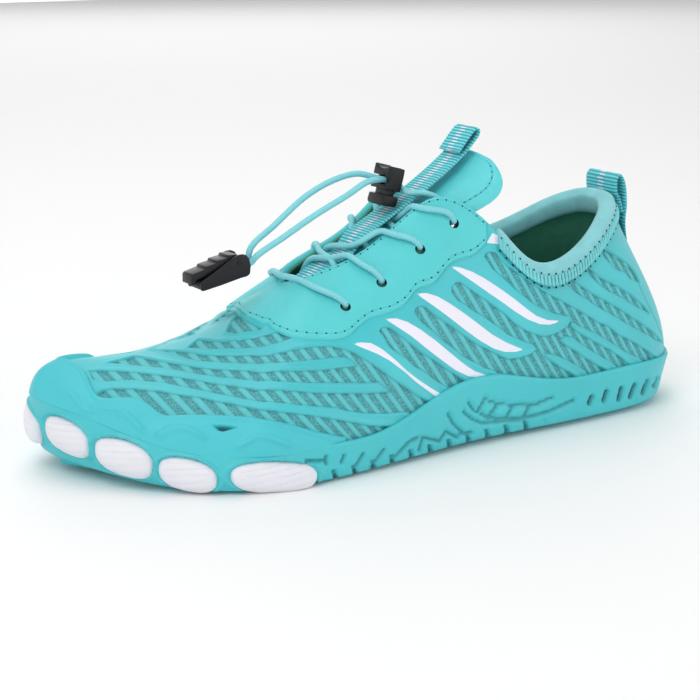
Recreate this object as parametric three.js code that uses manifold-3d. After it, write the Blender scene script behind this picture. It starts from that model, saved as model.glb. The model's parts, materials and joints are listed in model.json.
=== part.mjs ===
import * as THREE from "three";
import Module from "manifold-3d";

const wasm = await Module();
wasm.setup();

// Left water shoe: toe towards -X, lateral side towards -Y, sole on Z = 0.
// Main sizes of the shoe, in millimetres.
const LENGTH = 272;
const BALL_WIDTH = 100;
const HEEL_HEIGHT = 84;
const INSTEP_HEIGHT = 98;
const SOLE_THICKNESS = 6;
const HEEL_CENTRE = 35;

// Walls, overlays and the clearances between them.
const UPPER_WALL = 1.8;
const FIT_GAP = 0.3;
const STAY_THICKNESS = 1.1;
const GUARD_THICKNESS = 1.9;
const RIM_INSET = 3.2;
const RAND_WALL = 2.2;
const INSOLE_THICKNESS = 2.5;
const TONGUE_THICKNESS = 2.4;
const WEB_THICKNESS = 1.3;
const TONGUE_WEB_WIDTH = 14;
const HEEL_WEB_WIDTH = 20;
const LACE_DIAMETER = 2.4;
const EYELET_DIAMETER = 4;

const ROWS = 24;
const LATTICE_ROWS = 8;
const RIDGE_FIRST_ROW = 9;

/** Turns rows of shares into records with the named columns. */
function table(columns, rows) {
  return rows.map((row) => Object.fromEntries(columns.map((name, i) => [name, row[i]])));
}

// Rows 0 to 23 run from the heel along the lateral side, round the toe and back.
// along: share of the length. across: share of the ball width.
// rim: footbed rim, share of the sole thickness. out, up: lower bulge, shares of the
// ball width and instep height. reach, drop: upper bulge, shares of the same sizes.
const STATIONS = table(
  ["along", "across", "rim", "out", "up", "reach", "drop"],
  [
    [0.0, 0.0, 1.0, 0.12, 0.245, 0.08, 0.245],
    [0.026, -0.2, 1.0, 0.12, 0.245, 0.07, 0.235],
    [0.08, -0.31, 1.0, 0.1, 0.255, 0.04, 0.225],
    [0.165, -0.36, 1.0, 0.07, 0.245, 0.03, 0.205],
    [0.275, -0.39, 1.0, 0.06, 0.225, 0.03, 0.185],
    [0.386, -0.41, 1.0, 0.06, 0.245, 0.04, 0.225],
    [0.5, -0.445, 0.92, 0.07, 0.265, 0.09, 0.205],
    [0.614, -0.495, 0.83, 0.08, 0.245, 0.14, 0.155],
    [0.72, -0.52, 0.83, 0.08, 0.225, 0.18, 0.12],
    [0.816, -0.475, 1.0, 0.08, 0.205, 0.22, 0.0],
    [0.9, -0.33, 1.4, 0.08, 0.185, 0.19, 0.0],
    [0.963, -0.12, 2.25, 0.08, 0.175, 0.15, 0.0],
    [1.0, 0.14, 3.0, 0.07, 0.175, 0.13, 0.0],
    [0.978, 0.33, 2.5, 0.08, 0.175, 0.12, 0.0],
    [0.912, 0.44, 1.6, 0.08, 0.175, 0.13, 0.0],
    [0.816, 0.48, 1.0, 0.08, 0.185, 0.14, 0.0],
    [0.717, 0.47, 0.83, 0.08, 0.205, 0.13, 0.12],
    [0.618, 0.42, 0.92, 0.08, 0.245, 0.12, 0.155],
    [0.515, 0.35, 1.08, 0.07, 0.265, 0.09, 0.205],
    [0.412, 0.315, 1.17, 0.06, 0.265, 0.04, 0.225],
    [0.309, 0.32, 1.08, 0.06, 0.245, 0.03, 0.185],
    [0.213, 0.345, 1.0, 0.07, 0.245, 0.03, 0.205],
    [0.125, 0.34, 1.0, 0.1, 0.255, 0.04, 0.225],
    [0.044, 0.24, 1.0, 0.12, 0.245, 0.07, 0.235],
  ]
);

// Top line over the toes, from the throat base (row 9) to the toe (row 12).
const RIDGE = table(
  ["along", "across", "instep"],
  [
    [0.654, 0.01, 0.633],
    [0.757, 0.04, 0.488],
    [0.857, 0.09, 0.421],
    [0.938, 0.13, 0.416],
  ]
);

// Edge of throat and collar, from the throat base round the heel and back to it.
// Its height adds a share of the instep height and a share of the heel height.
const EDGE = table(
  ["along", "across", "instep", "heel"],
  [
    [0.654, 0.01, 0.633, 0],
    [0.61, -0.105, 0.694, 0],
    [0.518, -0.12, 0.811, 0],
    [0.438, -0.16, 0.949, 0],
    [0.364, -0.25, 0.816, 0],
    [0.302, -0.32, 0.3, 0.406],
    [0.213, -0.28, 0, 0.804],
    [0.147, -0.2, 0, 0.923],
    [0.11, -0.1, 0, 0.988],
    [0.103, 0, 0, 1],
    [0.11, 0.1, 0, 0.988],
    [0.147, 0.2, 0, 0.929],
    [0.213, 0.28, 0, 0.821],
    [0.302, 0.32, 0.3, 0.43],
    [0.364, 0.25, 0.827, 0],
    [0.438, 0.16, 0.949, 0],
    [0.518, 0.125, 0.811, 0],
    [0.61, 0.115, 0.694, 0],
    [0.654, 0.01, 0.633, 0],
  ]
);

// Sole by row: rand: height of the wall's top, share of the surface from rim to edge.
// lift: bottom edge above the ground, belly: widest line above the ground, both as
// shares of the sole thickness. arch: lift of the underside nearer the middle.
const SOLE = table(
  ["rand", "lift", "belly", "arch"],
  [
    [0.17, 0.7, 1.7, 0],
    [0.17, 0.7, 1.7, 0],
    [0.18, 0.5, 1.5, 0],
    [0.2, 0.45, 1.4, 0],
    [0.225, 0.5, 1.5, 0.05],
    [0.262, 0.55, 1.6, 0.1],
    [0.205, 0.45, 1.5, 0.05],
    [0.122, 0.35, 1.4, 0],
    [0.135, 0.25, 1.3, 0],
    [0.14, 0.3, 1.4, 0],
    [0.17, 0.75, 2.0, 0],
    [0.24, 1.8, 3.1, 0.2],
    [0.26, 2.6, 4.0, 0.4],
    [0.25, 2.2, 3.5, 0.3],
    [0.2, 1.1, 2.3, 0.05],
    [0.15, 0.4, 1.5, 0],
    [0.14, 0.25, 1.3, 0],
    [0.13, 0.5, 1.4, 0.1],
    [0.17, 0.9, 1.8, 0.45],
    [0.23, 1.0, 2.0, 0.6],
    [0.26, 0.8, 1.8, 0.4],
    [0.23, 0.5, 1.5, 0.1],
    [0.2, 0.5, 1.5, 0],
    [0.18, 0.7, 1.7, 0],
  ]
);

// Upper edge of the toe guard, round the toe from the lateral to the medial tail.
const GUARD_TOP = table(
  ["row", "height"],
  [
    [7.5, 0.15],
    [8.25, 0.24],
    [8.75, 0.285],
    [9.4, 0.335],
    [9.95, 0.345],
    [10.2, 0.36],
    [10.55, 0.435],
    [10.95, 0.41],
    [11.15, 0.45],
    [11.4, 0.6],
    [11.8, 0.78],
    [12.3, 0.82],
    [12.9, 0.7],
    [13.5, 0.52],
    [14.2, 0.4],
    [15.0, 0.34],
    [15.8, 0.26],
    [16.6, 0.16],
  ]
);

// Lower, scalloped edge of the eyestay by row, from the collar to the ridge.
const STAY_EDGE = table(
  ["row", "height"],
  [
    [5.15, 0.9],
    [5.5, 0.74],
    [6.2, 0.61],
    [6.8, 0.58],
    [7.2, 0.575],
    [7.6, 0.565],
    [8.3, 0.61],
    [8.8, 0.645],
    [9.15, 0.73],
    [9.4, 0.85],
    [9.6, 0.97],
  ]
);

// Eyelets of one side, from the toe upwards.
const EYELETS = table(
  ["row", "height"],
  [
    [7.62, 0.725],
    [7.03, 0.74],
    [6.35, 0.77],
    [5.75, 0.87],
  ]
);

// Tongue along its middle, from the toe end up to its rounded top.
// half: half of its width, share of the ball width. rise: share of the instep height.
const TONGUE = table(
  ["along", "rise", "half"],
  [
    [0.7, 0.53, 0.09],
    [0.65, 0.585, 0.12],
    [0.6, 0.672, 0.14],
    [0.55, 0.742, 0.155],
    [0.5, 0.815, 0.165],
    [0.45, 0.895, 0.17],
    [0.405, 0.973, 0.19],
    [0.368, 1.046, 0.2],
    [0.347, 1.1, 0.145],
  ]
);
const TONGUE_DROP = 3.2;
const TONGUE_DROP_AT = 11;

// Toe pods from the small toe to the big toe: row, height of the middle, half length
// and half height, the last three in millimetres.
const PODS = table(
  ["row", "middle", "half", "tall"],
  [
    [8.55, 5.9, 16, 5.6],
    [9.72, 8.0, 10.5, 5.8],
    [10.6, 12.6, 11.5, 6.4],
    [11.45, 17.2, 10.5, 6.4],
    [12.6, 17.6, 12, 6.2],
  ]
);
const POD_DEPTH = 4.6;
const POD_INSET = 2.3;

// Cord lock: middle of its cord channel as a share of the length, side, room over the
// webbing and lean; size of the body and of the button.
const LOCK = { station: 132.5 / 272, across: -1, room: 2.142, lean: 0.26 };
const LOCK_BODY = [7, 11, 9.4];
const LOCK_BUTTON = [7, 11, 4.2];
const LOCK_TRAVEL = 1.8;

// End clip: its pin over a place on the ridge, size of the cheeks and of the lever.
const CLIP = { ridgePlace: 0.7728, across: 0, lift: 23.456, lean: -0.1 };
const CLIP_LENGTH = 20.5;
const CLIP_WIDTH = 11;
const CLIP_CHEEK = 1.5;
const CLIP_PIN = 2;

/** Slopes of a smooth curve through the values, closed or open. */
function slopes(values, closed) {
  const n = values.length;
  const m = values.map(() => 0);
  for (let pass = 0; pass < 60; pass += 1) {
    for (let i = 0; i < n; i += 1) {
      if (closed) {
        const rise = 3 * (values[(i + 1) % n] - values[(i + n - 1) % n]);
        m[i] = (rise - m[(i + n - 1) % n] - m[(i + 1) % n]) / 4;
      } else if (i === 0) {
        m[i] = (3 * (values[1] - values[0]) - m[1]) / 2;
      } else if (i === n - 1) {
        m[i] = (3 * (values[n - 1] - values[n - 2]) - m[n - 2]) / 2;
      } else {
        m[i] = (3 * (values[i + 1] - values[i - 1]) - m[i - 1] - m[i + 1]) / 4;
      }
    }
  }
  return m;
}

/** Smooth curve through values at 0, 1, 2 and so on. */
function curve(values, closed = true) {
  const n = values.length;
  const m = slopes(values, closed);
  return (x) => {
    const at = closed ? ((x % n) + n) % n : Math.min(Math.max(x, 0), n - 1);
    const i = closed ? Math.floor(at) % n : Math.min(Math.floor(at), n - 2);
    const j = (i + 1) % n;
    const t = at - i;
    const t2 = t * t;
    const t3 = t2 * t;
    return (
      values[i] * (2 * t3 - 3 * t2 + 1) + m[i] * (t3 - 2 * t2 + t) +
      values[j] * (3 * t2 - 2 * t3) + m[j] * (t3 - t2)
    );
  };
}

/** Straight steps through the rows of a table with the columns row and height. */
function steps(rows) {
  return (row) => {
    const next = rows.findIndex((item) => item.row >= row);
    if (next <= 0) return rows[next === 0 ? 0 : rows.length - 1].height;
    const a = rows[next - 1];
    const b = rows[next];
    return a.height + ((b.height - a.height) * (row - a.row)) / (b.row - a.row);
  };
}

const outlineAlong = curve(STATIONS.map((item) => item.along * LENGTH));
const outlineAcross = curve(STATIONS.map((item) => item.across * BALL_WIDTH));
const rimHeight = curve(STATIONS.map((item) => item.rim * SOLE_THICKNESS));
const bulgeOut = curve(STATIONS.map((item) => item.out * BALL_WIDTH));
const bulgeUp = curve(STATIONS.map((item) => item.up * INSTEP_HEIGHT));
const topReach = curve(STATIONS.map((item) => item.reach * BALL_WIDTH));
const topDrop = curve(STATIONS.map((item) => item.drop * INSTEP_HEIGHT));
const ridgeAlong = curve(RIDGE.map((item) => item.along * LENGTH), false);
const ridgeAcross = curve(RIDGE.map((item) => item.across * BALL_WIDTH), false);
const ridgeRise = curve(RIDGE.map((item) => item.instep * INSTEP_HEIGHT), false);
const edgeAlong = curve(EDGE.map((item) => item.along * LENGTH), false);
const edgeAcross = curve(EDGE.map((item) => item.across * BALL_WIDTH), false);
const edgeRise = curve(
  EDGE.map((item) => item.instep * INSTEP_HEIGHT + item.heel * HEEL_HEIGHT),
  false
);
const randHeight = curve(SOLE.map((item) => item.rand));
const edgeLift = curve(SOLE.map((item) => item.lift * SOLE_THICKNESS));
const bellyHeight = curve(SOLE.map((item) => item.belly * SOLE_THICKNESS));
const archCurve = curve(SOLE.map((item) => item.arch * SOLE_THICKNESS));
const archLift = (row) => Math.max(archCurve(row), 0);
const guardTop = steps(GUARD_TOP);
const stayEdge = steps(STAY_EDGE);

/** A point from its distance ahead of the heel, its side and its height. */
function at(along, across, height) {
  return new THREE.Vector3(HEEL_CENTRE - along, across, height);
}

/** Row counted from the heel: positive on the lateral, negative on the medial side. */
function folded(row) {
  const r = ((row % ROWS) + ROWS) % ROWS;
  return r > ROWS / 2 ? r - ROWS : r;
}

/** Outline point in plan and its outward direction. */
function outline(row, inset, height) {
  const e = 1e-3;
  const dx = outlineAlong(row + e) - outlineAlong(row - e);
  const dy = outlineAcross(row + e) - outlineAcross(row - e);
  const size = Math.hypot(dx, dy);
  const out = new THREE.Vector3(-dy / size, -dx / size, 0);
  const point = at(outlineAlong(row), outlineAcross(row), height);
  return { point: point.addScaledVector(out, -inset), out };
}

/** Top end of a column: on the ridge over the toes, else on the edge. */
function topPoint(row) {
  const r = folded(row);
  const x = Math.abs(r) - RIDGE_FIRST_ROW;
  if (x >= 0) return at(ridgeAlong(x), ridgeAcross(x), ridgeRise(x));
  const y = RIDGE_FIRST_ROW - r;
  return at(edgeAlong(y), edgeAcross(y), edgeRise(y));
}

/** Rise of the ridge for each millimetre along the shoe. */
function ridgeSlope(row) {
  const last = RIDGE.length - 1;
  const x = Math.min(Math.max(Math.abs(folded(row)) - RIDGE_FIRST_ROW, 0.001), last - 0.001);
  const rise = ridgeRise(x + 0.001) - ridgeRise(x - 0.001);
  return rise / (ridgeAlong(x + 0.001) - ridgeAlong(x - 0.001));
}

/** The four guide points of one column of the last. */
function column(row) {
  const { point: foot, out } = outline(row, RIM_INSET, rimHeight(row));
  const top = topPoint(row);
  const low = foot.clone().addScaledVector(out, bulgeOut(row));
  low.z += bulgeUp(row);
  const lean = foot.clone().sub(top).setZ(0).normalize();
  const high = top.clone().addScaledVector(lean, topReach(row));
  const blend = Math.min(Math.max(Math.abs(folded(row)) - RIDGE_FIRST_ROW + 1, 0), 1);
  const share = blend * blend * (3 - 2 * blend);
  const slope = -lean.x * topReach(row) * ridgeSlope(row);
  high.z += (1 - share) * -topDrop(row) + share * slope;
  return [foot, low, high, top];
}

/** Point of the last: height 0 on the footbed rim, 1 on the ridge or edge. */
function lastPoint(row, height) {
  const [a, b, c, d] = column(row);
  const h = height;
  const g = 1 - h;
  return a.multiplyScalar(g * g * g)
    .addScaledVector(b, 3 * h * g * g)
    .addScaledVector(c, 3 * h * h * g)
    .addScaledVector(d, h * h * h);
}

/** Outward direction of the last. */
function lastNormal(row, height) {
  if (height >= 0.9999 && height <= 1.0001 && Math.abs(folded(row)) >= RIDGE_FIRST_ROW) {
    return new THREE.Vector3(ridgeSlope(row), 0, 1).normalize();
  }
  const e = 1e-3;
  const along = lastPoint(row + e, height).sub(lastPoint(row - e, height));
  const up = lastPoint(row, height + e).sub(lastPoint(row, height - e));
  return up.cross(along).normalize();
}

/** Point at a distance outside the last. */
function form(row, height, distance) {
  return lastPoint(row, height).addScaledVector(lastNormal(row, height), distance);
}

/** Collects faces with shared corners and closes them into one solid. */
class Skin {
  constructor() {
    this.points = [];
    this.known = new Map();
    this.faces = [];
  }

  point(v) {
    const key = [v.x, v.y, v.z].map((value) => Math.round(value * 2000)).join(",");
    if (!this.known.has(key)) {
      this.known.set(key, this.points.length);
      this.points.push(v.clone());
    }
    return this.known.get(key);
  }

  face(a, b, c) {
    const corners = [this.point(a), this.point(b), this.point(c)];
    if (new Set(corners).size === 3) this.faces.push(corners);
  }

  quad(a, b, c, d) {
    if (a.distanceTo(c) <= b.distanceTo(d)) {
      this.face(a, b, c);
      this.face(a, c, d);
    } else {
      this.face(a, b, d);
      this.face(b, c, d);
    }
  }

  /** Rows of points joined by quads, optionally closed round each row. */
  grid(rows, closed) {
    for (let i = 0; i + 1 < rows.length; i += 1) {
      const count = rows[i].length;
      for (let j = 0; j + (closed ? 0 : 1) < count; j += 1) {
        const k = (j + 1) % count;
        this.quad(rows[i][j], rows[i][k], rows[i + 1][k], rows[i + 1][j]);
      }
    }
  }

  /** Flat lid over a ring of points. */
  cap(ring, reversed) {
    const normal = ring.reduce((sum, v, i) => {
      const next = ring[(i + 1) % ring.length];
      return sum.add(v.clone().sub(ring[0]).cross(next.clone().sub(ring[0])));
    }, new THREE.Vector3()).normalize();
    const across = ring[1].clone().sub(ring[0]).normalize();
    const up = normal.clone().cross(across);
    const flat = ring.map((v) => new THREE.Vector2(v.dot(across), v.dot(up)));
    THREE.ShapeUtils.triangulateShape(flat, []).forEach(([i, j, k]) => {
      const turn = flat[j].clone().sub(flat[i]).cross(flat[k].clone().sub(flat[i])) > 0;
      const [a, b, c] = turn === reversed ? [i, k, j] : [i, j, k];
      this.face(ring[a], ring[b], ring[c]);
    });
  }

  volume() {
    return this.faces.reduce((sum, [a, b, c]) => {
      const p = this.points[a];
      return sum + p.dot(this.points[b].clone().cross(this.points[c])) / 6;
    }, 0);
  }

  solid() {
    const turned = this.volume() < 0;
    const tri = this.faces.flatMap(([a, b, c]) => (turned ? [a, c, b] : [a, b, c]));
    const flat = this.points.flatMap((v) => [v.x, v.y, v.z]);
    const mesh = new wasm.Mesh({
      numProp: 3,
      vertProperties: new Float32Array(flat),
      triVerts: new Uint32Array(tri),
    });
    return new wasm.Manifold(mesh);
  }
}

/** Evenly spaced values with both ends. */
function span(from, to, count) {
  return Array.from({ length: count + 1 }, (_, i) => from + ((to - from) * i) / count);
}

const LATERAL = [
  ...span(0, 3, 6),
  ...span(3, 9, 9).slice(1),
  ...span(9, 10.5, 3).slice(1),
  ...span(10.5, 12, 6).slice(1),
];
const RING = [...LATERAL, ...LATERAL.slice(1, -1).reverse().map((row) => ROWS - row)];
const LEVELS = span(0, 1, LATTICE_ROWS);

/** Shell between two distances from the last, open at collar, throat and underneath. */
function shell(inside, outside) {
  const skin = new Skin();
  const outer = LEVELS.map((h) => RING.map((row) => form(row, h, outside)));
  const inner = LEVELS.map((h) => RING.map((row) => form(row, h, inside)));
  skin.grid(outer, true);
  skin.grid([...inner].reverse(), true);
  skin.grid([inner[0], outer[0]], true);
  const last = LEVELS.length - 1;
  RING.forEach((row, i) => {
    const next = (i + 1) % RING.length;
    const middle = Math.abs(folded(row + 0.1));
    if (middle > RIDGE_FIRST_ROW) return;
    skin.quad(outer[last][i], outer[last][next], inner[last][next], inner[last][i]);
  });
  return skin.solid();
}

/** Closed block between two heights of the surface, round the columns given. */
function patch(rows, low, high, near, far) {
  const skin = new Skin();
  const section = (row) => {
    const a = low(row);
    const b = high(row);
    const hs = [a, a + (b - a) / 3, a + ((b - a) * 2) / 3, b];
    return [
      ...hs.map((h) => form(row, h, near)),
      ...[...hs].reverse().map((h) => form(row, h, far)),
    ];
  };
  const rings = rows.map(section);
  skin.grid(rings, true);
  skin.cap(rings[0], true);
  skin.cap(rings[rings.length - 1], false);
  return skin.solid();
}

/** Middle between a ring point and its partner on the other side. */
function middles(ring) {
  const n = ring.length;
  return ring.map((v, i) => v.clone().add(ring[(n - i) % n]).multiplyScalar(0.5));
}

/** The last itself as a filled block, from the footbed up to a level. */
function filledForm(distance, levelCount) {
  const skin = new Skin();
  const rings = LEVELS.slice(0, levelCount).map((h) => RING.map((row) => form(row, h, distance)));
  rings[0].forEach((v) => {
    v.z -= FIT_GAP * 0.7;
  });
  skin.grid([middles(rings[0]), ...rings, middles(rings[rings.length - 1])], true);
  return skin.solid();
}

/** Sole: cup around the foot of the upper, with toe spring, arch and bevelled edge. */
function soleBlock() {
  const skin = new Skin();
  const ground = (row, inset, share) => {
    const lift = Math.max(edgeLift(row) - 0.75 * SOLE_THICKNESS, 0);
    return outline(row, inset, archLift(row) + lift * share).point;
  };
  const flat = RING.map((row) => ground(row, 18, 0.25));
  const tread = RING.map((row) => ground(row, 9, 0.55));
  const shoulder = RING.map((row) => {
    const z = Math.max(edgeLift(row) * 0.45, archLift(row));
    return outline(row, 4.2, z).point;
  });
  const bottom = RING.map((row) => outline(row, 1.4, edgeLift(row)).point);
  const belly = RING.map((row) => outline(row, 0, bellyHeight(row)).point);
  const rand = RING.map((row) => form(row, randHeight(row), RAND_WALL));
  const inner = RING.map((row) => form(row, randHeight(row), -1));
  const middle = middles(flat);
  middle.forEach((v) => {
    v.z = Math.max(v.z, 0);
  });
  const rows = [middle, flat, tread, shoulder, bottom, belly, rand, inner, middles(inner)];
  skin.grid(rows, true);
  return skin.solid();
}

/** Box turned about Z and tilted, as a closed block. */
function box(size, centre, turn, tilt = 0) {
  const skin = new Skin();
  const matrix = new THREE.Matrix4().makeRotationFromEuler(new THREE.Euler(0, tilt, turn, "ZYX"));
  matrix.setPosition(centre);
  const corner = (x, y, z) =>
    new THREE.Vector3((x * size[0]) / 2, (y * size[1]) / 2, (z * size[2]) / 2).applyMatrix4(matrix);
  const low = [corner(-1, -1, -1), corner(1, -1, -1), corner(1, 1, -1), corner(-1, 1, -1)];
  const high = [corner(-1, -1, 1), corner(1, -1, 1), corner(1, 1, 1), corner(-1, 1, 1)];
  skin.grid([low, high], true);
  skin.quad(low[3], low[2], low[1], low[0]);
  skin.quad(high[0], high[1], high[2], high[3]);
  return skin.solid();
}

/** Cylinder between two points. */
function rod(from, to, radius, sides, endRadius = radius) {
  const skin = new Skin();
  const axis = to.clone().sub(from).normalize();
  const turn = new THREE.Quaternion().setFromUnitVectors(new THREE.Vector3(0, 0, 1), axis);
  const ring = (centre, size) =>
    span(0, 2 * Math.PI, sides).slice(0, -1).map((a) =>
      new THREE.Vector3(Math.cos(a) * size, Math.sin(a) * size, 0)
        .applyQuaternion(turn).add(centre));
  const rings = [ring(from, radius), ring(to, endRadius)];
  skin.grid(rings, true);
  skin.cap(rings[0], true);
  skin.cap(rings[1], false);
  return skin.solid();
}

/** Tube along a smooth path. */
function tube(path, radius, sides, stepCount) {
  const line = new THREE.CatmullRomCurve3(path, false, "centripetal");
  const profile = new THREE.Shape(span(0, 2 * Math.PI, sides).slice(0, -1).map(
    (a) => new THREE.Vector2(Math.cos(a) * radius, Math.sin(a) * radius)));
  const geometry = new THREE.ExtrudeGeometry(profile, { steps: stepCount, extrudePath: line });
  return solidOf(geometry);
}

/** Solid from a closed geometry. */
function solidOf(geometry) {
  const skin = new Skin();
  const position = geometry.getAttribute("position");
  const index = geometry.getIndex();
  const count = index ? index.count : position.count;
  const corner = (i) => new THREE.Vector3().fromBufferAttribute(position, index ? index.getX(i) : i);
  for (let i = 0; i < count; i += 3) skin.face(corner(i), corner(i + 1), corner(i + 2));
  return skin.solid();
}

/** Rounded-off strap of one width, swept along a line with its own side directions. */
function strap(line, sides, width, thickness) {
  const skin = new Skin();
  const rings = line.map((centre, i) => {
    const before = line[Math.max(i - 1, 0)];
    const after = line[Math.min(i + 1, line.length - 1)];
    const along = after.clone().sub(before).normalize();
    const side = sides[i].clone().addScaledVector(along, -sides[i].dot(along)).normalize();
    const up = along.clone().cross(side).normalize();
    const corner = (a, b) =>
      centre.clone().addScaledVector(side, a * width / 2).addScaledVector(up, b * thickness / 2);
    return [corner(-1, -1), corner(1, -1), corner(1, 1), corner(-1, 1)];
  });
  skin.grid(rings, true);
  skin.cap(rings[0], true);
  skin.cap(rings[rings.length - 1], false);
  return skin.solid();
}

/** Ellipsoid with its own axes, as a closed block. */
function pebble(centre, axes, radii, around, up) {
  const skin = new Skin();
  const basis = new THREE.Matrix4().makeBasis(axes[0], axes[1], axes[2]).setPosition(centre);
  const point = (a, b) =>
    new THREE.Vector3(
      radii[0] * Math.cos(a) * Math.cos(b),
      radii[1] * Math.sin(a) * Math.cos(b),
      radii[2] * Math.sin(b)
    ).applyMatrix4(basis);
  const turns = span(0, 2 * Math.PI, around).slice(0, -1);
  const rings = span(-Math.PI / 2, Math.PI / 2, up).map((b) => turns.map((a) => point(a, b)));
  skin.grid(rings, true);
  return skin.solid();
}

const parts = new Map();

/** Registers one solid under its name. */
function keep(name, solid) {
  parts.set(name, solid);
  return solid;
}

// Columns of the toe guard and of the eyestay, denser than the surface's own.
const guardRows = span(GUARD_TOP[0].row, GUARD_TOP[GUARD_TOP.length - 1].row, 28);
const stayFirst = STAY_EDGE[0].row;
const stayLast = STAY_EDGE[STAY_EDGE.length - 1].row;

/** Cutting block for the eyestay: down both throat sides and over the ridge. */
function stayBlock() {
  const skin = new Skin();
  const rows = span(stayFirst, stayLast, 16);
  const levels = 3;
  const top = (row) => (row < RIDGE_FIRST_ROW ? 1.05 : 1);
  const grid = (side, distance) =>
    rows.map((r) => {
      const low = stayEdge(r);
      return span(0, 1, levels).map((t) =>
        form(side * r, low + (top(r) - low) * t, distance));
    });
  const near = [1, -1].map((side) => grid(side, -0.9));
  const far = [1, -1].map((side) => grid(side, 4));
  [0, 1].forEach((k) => {
    const flip = k === 1;
    const put = (a, b, c, d) => (flip ? skin.quad(d, c, b, a) : skin.quad(a, b, c, d));
    for (let i = 0; i + 1 < rows.length; i += 1) {
      for (let j = 0; j < levels; j += 1) {
        put(far[k][i][j], far[k][i + 1][j], far[k][i + 1][j + 1], far[k][i][j + 1]);
        put(near[k][i][j + 1], near[k][i + 1][j + 1], near[k][i + 1][j], near[k][i][j]);
      }
      put(near[k][i][0], near[k][i + 1][0], far[k][i + 1][0], far[k][i][0]);
      if (rows[i] < RIDGE_FIRST_ROW - 0.001) {
        const m = levels;
        put(far[k][i][m], far[k][i + 1][m], near[k][i + 1][m], near[k][i][m]);
      }
    }
    const ends = [0, rows.length - 1];
    ends.forEach((i) => {
      for (let j = 0; j < levels; j += 1) {
        const a = near[k][i][j];
        const b = near[k][i][j + 1];
        const c = far[k][i][j + 1];
        const d = far[k][i][j];
        if (i === 0) put(a, d, c, b);
        else put(a, b, c, d);
      }
    });
  });
  return skin.solid();
}

const eyeletCutters = EYELETS.flatMap(({ row, height }) =>
  [1, -1].map((side) =>
    rod(form(side * row, height, -5), form(side * row, height, 5), EYELET_DIAMETER / 2, 8)));
const eyeletCut = eyeletCutters.reduce((sum, cutter) => sum.add(cutter));

// Upper: one hollow shell with its punched eyelets.
keep("upper", shell(-UPPER_WALL, 0).subtract(eyeletCut));

// Eyestay: cut between two larger forms.
const stayShell = shell(FIT_GAP, FIT_GAP + STAY_THICKNESS);
keep("eyestay", stayShell.intersect(stayBlock()).subtract(eyeletCut));

// Toe guard over the toe of the upper, down to the top of the sole's wall.
const guardShell = shell(FIT_GAP, FIT_GAP + GUARD_THICKNESS);
const guardBlock = patch(
  guardRows,
  (row) => randHeight(row) + 0.015,
  (row) => Math.max(guardTop(row), randHeight(row) + 0.02),
  -0.9,
  4
);
keep("toe_guard", guardShell.intersect(guardBlock));

// Sole with its cup.
/** Frame on the sole's outline: along it, outward and up. */
function sideFrame(row, inset, height) {
  const { point, out } = outline(row, inset, height);
  const up = new THREE.Vector3(0, 0, 1);
  return { point, axes: [out.clone().cross(up), out, up] };
}

/** One toe pod, or the room cut for it. */
function podBlock(pod, room) {
  const { point, axes } = sideFrame(pod.row, POD_INSET, pod.middle);
  const radii = [pod.half + room, POD_DEPTH + room, pod.tall + room];
  return pebble(point, axes, radii, 10, 5);
}

/** Blocks cut from the sole's wall and tread. */
function soleCuts() {
  const cuts = PODS.map((pod) => podBlock(pod, FIT_GAP));
  [3.45, 3.15, 2.85, 2.55, 2.2, 1.85].forEach((row) => {
    const { point, out } = outline(row, -0.6, 11.5);
    cuts.push(box([3.4, 1.6, 6.5], point, Math.atan2(out.y, out.x), 0.12));
  });
  [5.25, 4.95, 4.65].forEach((row) => {
    const { point, out } = outline(row, -0.9, 14.5);
    cuts.push(box([3.4, 5.2, 5], point, Math.atan2(out.y, out.x), 0.1));
  });
  [[150, 0.12], [164, 0.2], [178, 0.25], [192, 0.2], [206, 0.1], [220, 0], [66, -0.1], [54, -0.15]]
    .forEach(([along, turn]) => {
      cuts.push(box([2.2, 130, 2.4], at(along, 0, 0), turn));
    });
  return cuts.reduce((sum, cut) => sum.add(cut));
}

keep("outsole", soleBlock().subtract(soleCuts()).subtract(filledForm(FIT_GAP, 4)));

// Toe pods set into the front of the sole.
const podCore = filledForm(FIT_GAP * 2, 4);
PODS.forEach((pod, i) => {
  keep(`toe_pod_${i + 1}`, podBlock(pod, 0).subtract(podCore));
});

// Insole, clear of the footbed and of the upper's wall.
function insole() {
  const skin = new Skin();
  const side = (lift) => RING.map((row) =>
    outline(row, RIM_INSET + UPPER_WALL + 1.4, rimHeight(row) * 0.97 + lift).point);
  const low = side(FIT_GAP + 0.15);
  const top = side(FIT_GAP + 0.15 + INSOLE_THICKNESS);
  skin.grid([middles(low), low, top, middles(top)], true);
  return skin.solid();
}
keep("insole", insole());

const tongueAlong = curve(TONGUE.map((item) => item.along * LENGTH), false);
const tongueRise = curve(TONGUE.map((item) => item.rise * INSTEP_HEIGHT), false);
const tongueHalf = curve(TONGUE.map((item) => item.half * BALL_WIDTH), false);
const TONGUE_TOP = TONGUE.length - 1;

/** Direction up along the tongue at a station. */
function tongueRun(t) {
  const a = Math.max(t - 0.05, 0);
  const b = Math.min(t + 0.05, TONGUE_TOP);
  return at(tongueAlong(b), 0, tongueRise(b)).sub(at(tongueAlong(a), 0, tongueRise(a))).normalize();
}

/** Point at a distance above the arched face of the tongue. */
function tonguePoint(t, across, lift) {
  const run = tongueRun(t);
  const normal = new THREE.Vector3(-run.z, 0, run.x);
  const drop = TONGUE_DROP * (across / TONGUE_DROP_AT) ** 2;
  return at(tongueAlong(t), across, tongueRise(t)).addScaledVector(normal, lift - drop);
}

/** Station of the tongue nearest to a distance ahead of the heel. */
function tongueStation(along) {
  const all = span(0, TONGUE_TOP, 400);
  return all.reduce((best, t) =>
    Math.abs(tongueAlong(t) - along) < Math.abs(tongueAlong(best) - along) ? t : best);
}

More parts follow.
